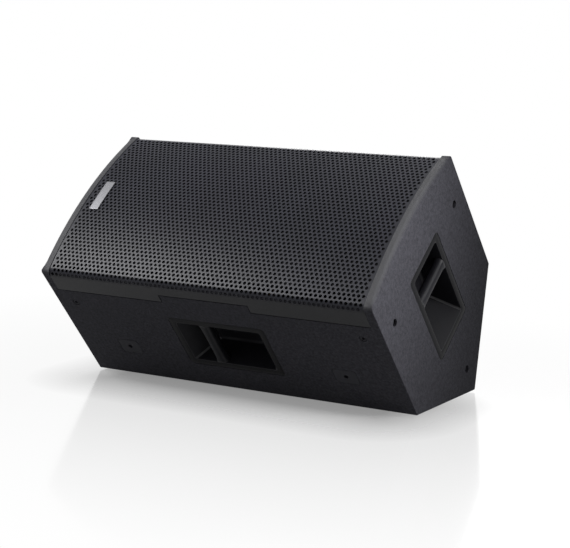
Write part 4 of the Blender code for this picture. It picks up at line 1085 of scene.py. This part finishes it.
def buildSocket(name):
    rim, bore, core = socket["rim"], socket["bore"], socket["core"]
    piece = pullOutline(name, disc(rim, socket["sides"]), -socket["rimThickness"], 0.0)
    editMesh("FACE")
    pickFacing(-1)
    bpy.ops.mesh.inset(thickness=rim - socket["barrel"])
    pushAlongZ(socket["rimThickness"] - socket["barrelLength"])
    pickFacing(1)
    bpy.ops.mesh.inset(thickness=socket["rimStep"], depth=socket["rimRise"])
    bpy.ops.mesh.inset(thickness=socket["rimFlat"])
    left = rim - socket["rimStep"] - socket["rimFlat"]
    bpy.ops.mesh.inset(thickness=left - bore, depth=-socket["boreChamfer"])
    pushAlongZ(-socket["boreDepth"])
    bpy.ops.mesh.inset(thickness=bore - core)
    pushAlongZ(socket["boreDepth"] - socket["coreSunk"])
    bpy.ops.mesh.inset(thickness=socket["coreWall"], depth=socket["coreRise"])
    pushAlongZ(-socket["coreHollow"])
    leaveEdit()
    outwardNormals()
    start, end = core + socket["keyGap"], socket["keyReach"]
    for number in range(3):
        turn = Matrix.Rotation(radians(90 + 120 * number), 4, "Z")
        width = socket["keyWidth"] * (socket["wideKey"] if number == 0 else 1.0)
        slot = roundedBox(end - start, width, socket["keyCorner"], ((start + end) / 2, 0), 2)
        cutPrism(piece, turn, slot, socket["keyFloor"] - socket["boreDepth"], socket["keyTop"])
    smoothUnder(piece, 35)
    return piece


def buildContacts(name):
    # four upright blades round the core, a quarter turn apart
    depth, width, height = socket["contact"]
    x = socket["core"] + socket["contactGap"] + depth / 2
    z = height / 2 - socket["boreDepth"] - socket["contactSunk"]
    blade = addBlock(name, (x, 0, z), (depth / 2, width / 2, height / 2))
    editMesh("EDGE")
    pick("edges", lambda edge: edge.calc_face_angle(0) > squareTurn and middle(edge).z > z + tiny)
    bevelEdges(socket["contactRound"], segments=2)
    leaveEdit()
    ring = blade.modifiers.new("ring", "ARRAY")
    ring.count = 4
    ring.use_relative_offset = False
    pivot = bpy.data.objects.new("quarterTurn", None)
    pivot.matrix_world = Matrix.Rotation(pi / 2, 4, "Z")
    intoScene(pivot)
    ring.use_object_offset = True
    ring.offset_object = pivot
    applyModifiers(blade)
    bpy.data.objects.remove(pivot, do_unlink=True)
    blade.data.transform(Matrix.Rotation(socket["contactTurn"], 4, "Z"))
    smoothUnder(blade, 35)
    return blade


def buildSockets():
    body = buildSocket("socketInput")
    blades = buildContacts("contactsInput")
    for base, slotName, stands in ((body, "socket_plastic", True), (blades, "zinc_steel", False)):
        twin = copyPiece(base, base.name.replace("Input", "Link"))
        for piece, way, node in ((base, -1, "terminal_socket_input"), (twin, 1, "terminal_socket_link")):
            place = moved(rearFacet, terminal["x"] + way * socket["spacing"] / 2, 0, socket["front"])
            settle(piece, place, slotName, (node,) if stands else ())


# rigging bolts and set screws with a hexagon socket, and small pan-head screws

fastener = {"sides": 24, "keySides": 6, "crown": 0.18}   # crown: share of the radius that is rounded
bolt = {
    "radius": 0.0060, "head": 0.0040, "key": 0.0034, "keyDepth": 0.0030, "sunk": 0.0050,
    "sideSunk": 0.0006,    # nearly flush in the two sides
}
setScrew = {"radius": 0.0041, "head": 0.0080, "key": 0.0024, "keyDepth": 0.0040, "sunk": 0.0050}
panScrew = {"radius": 0.0036, "head": 0.0016, "key": 0.0017, "keyDepth": 0.0010, "proud": 0.0014}


def buildBolt(name, kind):
    radius, head = kind["radius"], kind["head"]
    startFresh()
    bpy.ops.mesh.primitive_cylinder_add(
        vertices=fastener["sides"], radius=radius, depth=head, location=(0, 0, -head / 2))
    piece = newPiece(name)
    bpy.ops.object.transform_apply()
    editMesh("EDGE")
    pick("edges", lambda edge: all(abs(v.co.z) < tiny for v in edge.verts))
    bevelEdges(fastener["crown"] * radius, segments=3)
    leaveEdit()
    cutAway(piece, pullOutline("key", disc(kind["key"], fastener["keySides"]), -kind["keyDepth"], head))
    smoothUnder(piece, 35)
    return piece


def setFasteners(name, slotName, groups):
    # each group has one kind at one height, and the copies are numbered through
    number = 0
    for kind, height, places in groups:
        master = buildBolt(name, kind)
        for place in places:
            number += 1
            settle(copyPiece(master, f"{name}{number}"), moved(place, z=height), slotName)
        bpy.data.objects.remove(master, do_unlink=True)


def buildFasteners():
    setFasteners("riggingBolt", "black_steel", (
        (bolt, -bolt["sideSunk"], sideSpots),
        (bolt, -bolt["sunk"], endSpots),
        (setScrew, -setScrew["sunk"], plateSpots),
    ))
    x, y = (size / 2 - terminal["screwIn"] for size in terminal["flange"])
    places = [moved(terminalSpot, sx * x, sy * y) for sx, sy in fourCorners]
    for quarter in range(4):
        turn = pi / 4 + quarter * pi / 2
        out = pole["screwCircle"]
        places.append(moved(poleSpot, out * cos(turn), out * sin(turn)))
    setFasteners("panScrew", "cast_frame", ((panScrew, panScrew["proud"], places),))


buildShell()
print("cabinet shell done")
buildGrille()
print("grille done")
buildBadge()
buildHandles()
print("badge and handles done")
buildSockets()
print("sockets done")
buildFasteners()
print("fasteners done")


# camera: solved from the cabinet's edges in a 570 x 548 picture

camera = {
    "azimuth": radians(31.3546), "elevation": radians(9.1528), "roll": radians(0.6059),
    "distance": 2.8617, "slideRight": -0.06263, "slideUp": -0.20381,
    "lens": 102.83, "sensor": 36.0, "farEnd": 50.0,
}


def buildCamera():
    turn, rise, roll = camera["azimuth"], camera["elevation"], camera["roll"]
    back = Vector((sin(turn) * cos(rise), -cos(turn) * cos(rise), sin(rise)))
    right = Vector((cos(turn), sin(turn), 0))
    up = back.cross(right)
    tiltedRight = right * cos(roll) + up * sin(roll)
    tiltedUp = up * cos(roll) - right * sin(roll)
    target = cabinetPlace @ Vector((0, -half, -cabinet["sideDepth"]))
    spot = target + back * camera["distance"]
    spot = spot - tiltedRight * camera["slideRight"] - tiltedUp * camera["slideUp"]
    lens = bpy.data.cameras.new("camera")
    lens.lens = camera["lens"]
    lens.sensor_width = camera["sensor"]
    lens.clip_end = camera["farEnd"]
    eye = bpy.data.objects.new("camera", lens)
    eye.matrix_world = axesAt(spot, tiltedRight, tiltedUp, back)
    intoScene(eye)
    bpy.context.scene.camera = eye


# stage: pale floor, white surroundings, soft lights

stage = {
    "floorSize": 30.0, "backdropAt": 6.0, "backdropHeight": 6.0, "sweep": 2.0, "sweepSteps": 16,
    "floorColour": (0.32, 0.32, 0.32), "floorRoughness": 0.6,
    "footMiddle": (0.0, -0.04, 0.0), "footHalf": (0.27, 0.05, 0.0),   # the cabinet's footprint
    "shadeReach": 0.16, "leastWhite": 0.35,
    "floorGloss": 0.12, "glossIor": 1.45, "glossReach": (0.10, 0.85),
    "ambient": 0.27,
}
lights = (
    {"name": "frontLeftKey", "spot": (-1.60, -1.15, 2.00), "aim": (0, 0, 0.2),
     "size": (0.9, 0.7), "watts": 60, "spread": 180},
    {"name": "rightSide", "spot": (1.10, -0.086, 0.513), "aim": (0.33, -0.35, 0.394),
     "size": (0.28, 0.28), "watts": 5.0, "spread": 81},
    {"name": "overhead", "spot": (0.2, 0.5, 2.6), "aim": (0, 0, 0.2),
     "size": (2.0, 1.6), "watts": 18, "spread": 180},
    {"name": "backFill", "spot": (-0.9, 2.5, 1.5), "aim": (0, 0.1, 0.2),
     "size": (1.4, 1.0), "watts": 34, "spread": 180},
)


def directRays(tree):
    # 1 for what the camera sees, straight or in a reflection or through glass, 0 for the light on the object
    path = tree.nodes.new("ShaderNodeLightPath")
    result = path.outputs["Is Camera Ray"]
    for kind in ("Is Glossy Ray", "Is Transmission Ray"):
        result = combine(tree, "MAXIMUM", result, path.outputs[kind])
    return result


def layered(tree, share, under, over):
    return addNode(tree, "MixShader", {}, {"Fac": share, 1: under, 2: over}).outputs["Shader"]


def floorPaper():
    # white to the camera away from the cabinet, with a reflection that dies away from it
    paper, tree, shader, where = newFinish(
        "palePaper", stage["floorColour"], stage["floorRoughness"], specular=0.0)
    for operation, amount in (
        ("SUBTRACT", stage["footMiddle"]),
        ("ABSOLUTE", None),
        ("SUBTRACT", stage["footHalf"]),
        ("MAXIMUM", (0, 0, 0)),
        ("LENGTH", None),
    ):
        away = addNode(tree, "VectorMath", {1: amount} if amount else {}, {0: where})
        away.operation = operation   # at the end, the distance from the cabinet's footprint
        where = away.outputs[0]
    distance = away.outputs["Value"]
    # painted shadow: within shadeReach of the footprint the white gives way to the darker lit paper, on top
    # of the lamps' own shadow
    white = addRange(tree, distance, stage["leastWhite"], 1.0, 0.0, stage["shadeReach"])
    glow = tree.nodes.new("ShaderNodeEmission")
    pale = layered(tree, combine(tree, "MULTIPLY", white, directRays(tree)),
                   shader.outputs["BSDF"], glow.outputs["Emission"])
    sheen = addNode(tree, "BsdfGlossy", {"Roughness": stage["floorGloss"]}, {})
    grazing = addNode(tree, "Fresnel", {"IOR": stage["glossIor"]}, {})
    fading = addRange(tree, distance, 1.0, 0.0, *stage["glossReach"])
    shine = combine(tree, "MULTIPLY", grazing.outputs["Fac"], fading)
    topped = layered(tree, shine, pale, sheen.outputs["BSDF"])
    tree.links.new(topped, tree.nodes["Material Output"].inputs["Surface"])
    return paper


def buildFloor():
    startFresh()
    bpy.ops.mesh.primitive_plane_add(size=stage["floorSize"])
    floor = newPiece("floor")
    editMesh("EDGE")
    pick("edges", lambda edge: middle(edge).y > tiny)
    bpy.ops.transform.translate(value=(0, stage["backdropAt"] - stage["floorSize"] / 2, 0))
    bpy.ops.mesh.extrude_edges_move(TRANSFORM_OT_translate={"value": (0, 0, stage["backdropHeight"])})
    pick("edges", lambda edge: middle(edge).y > stage["backdropAt"] - tiny and middle(edge).z < tiny)
    bevelEdges(stage["sweep"], segments=stage["sweepSteps"])
    leaveEdit()
    smoothUnder(floor, 60)
    floor.data.materials.append(floorPaper())


def buildSurroundings():
    world = bpy.data.worlds.new("surroundings")
    world.use_nodes = True
    bpy.context.scene.world = world
    sky = world.node_tree
    background = sky.nodes["Background"]
    background.inputs["Color"].default_value = (1, 1, 1, 1)
    strength = addRange(sky, directRays(sky), stage["ambient"], 1.0, 0.0, 1.0)
    sky.links.new(strength, background.inputs["Strength"])
    for item in lights:
        lamp = bpy.data.lights.new(item["name"], "AREA")
        lamp.shape = "RECTANGLE"
        lamp.size, lamp.size_y = item["size"]
        lamp.energy = item["watts"]
        lamp.spread = radians(item["spread"])
        holder = bpy.data.objects.new(item["name"], lamp)
        holder.location = item["spot"]
        toward = Vector(item["aim"]) - Vector(item["spot"])
        holder.rotation_euler = toward.to_track_quat("-Z", "Y").to_euler()
        intoScene(holder)
    bpy.context.scene.view_settings.view_transform = "Standard"


buildCamera()
buildFloor()
buildSurroundings()
print("camera and stage done")

bpy.context.view_layer.update()
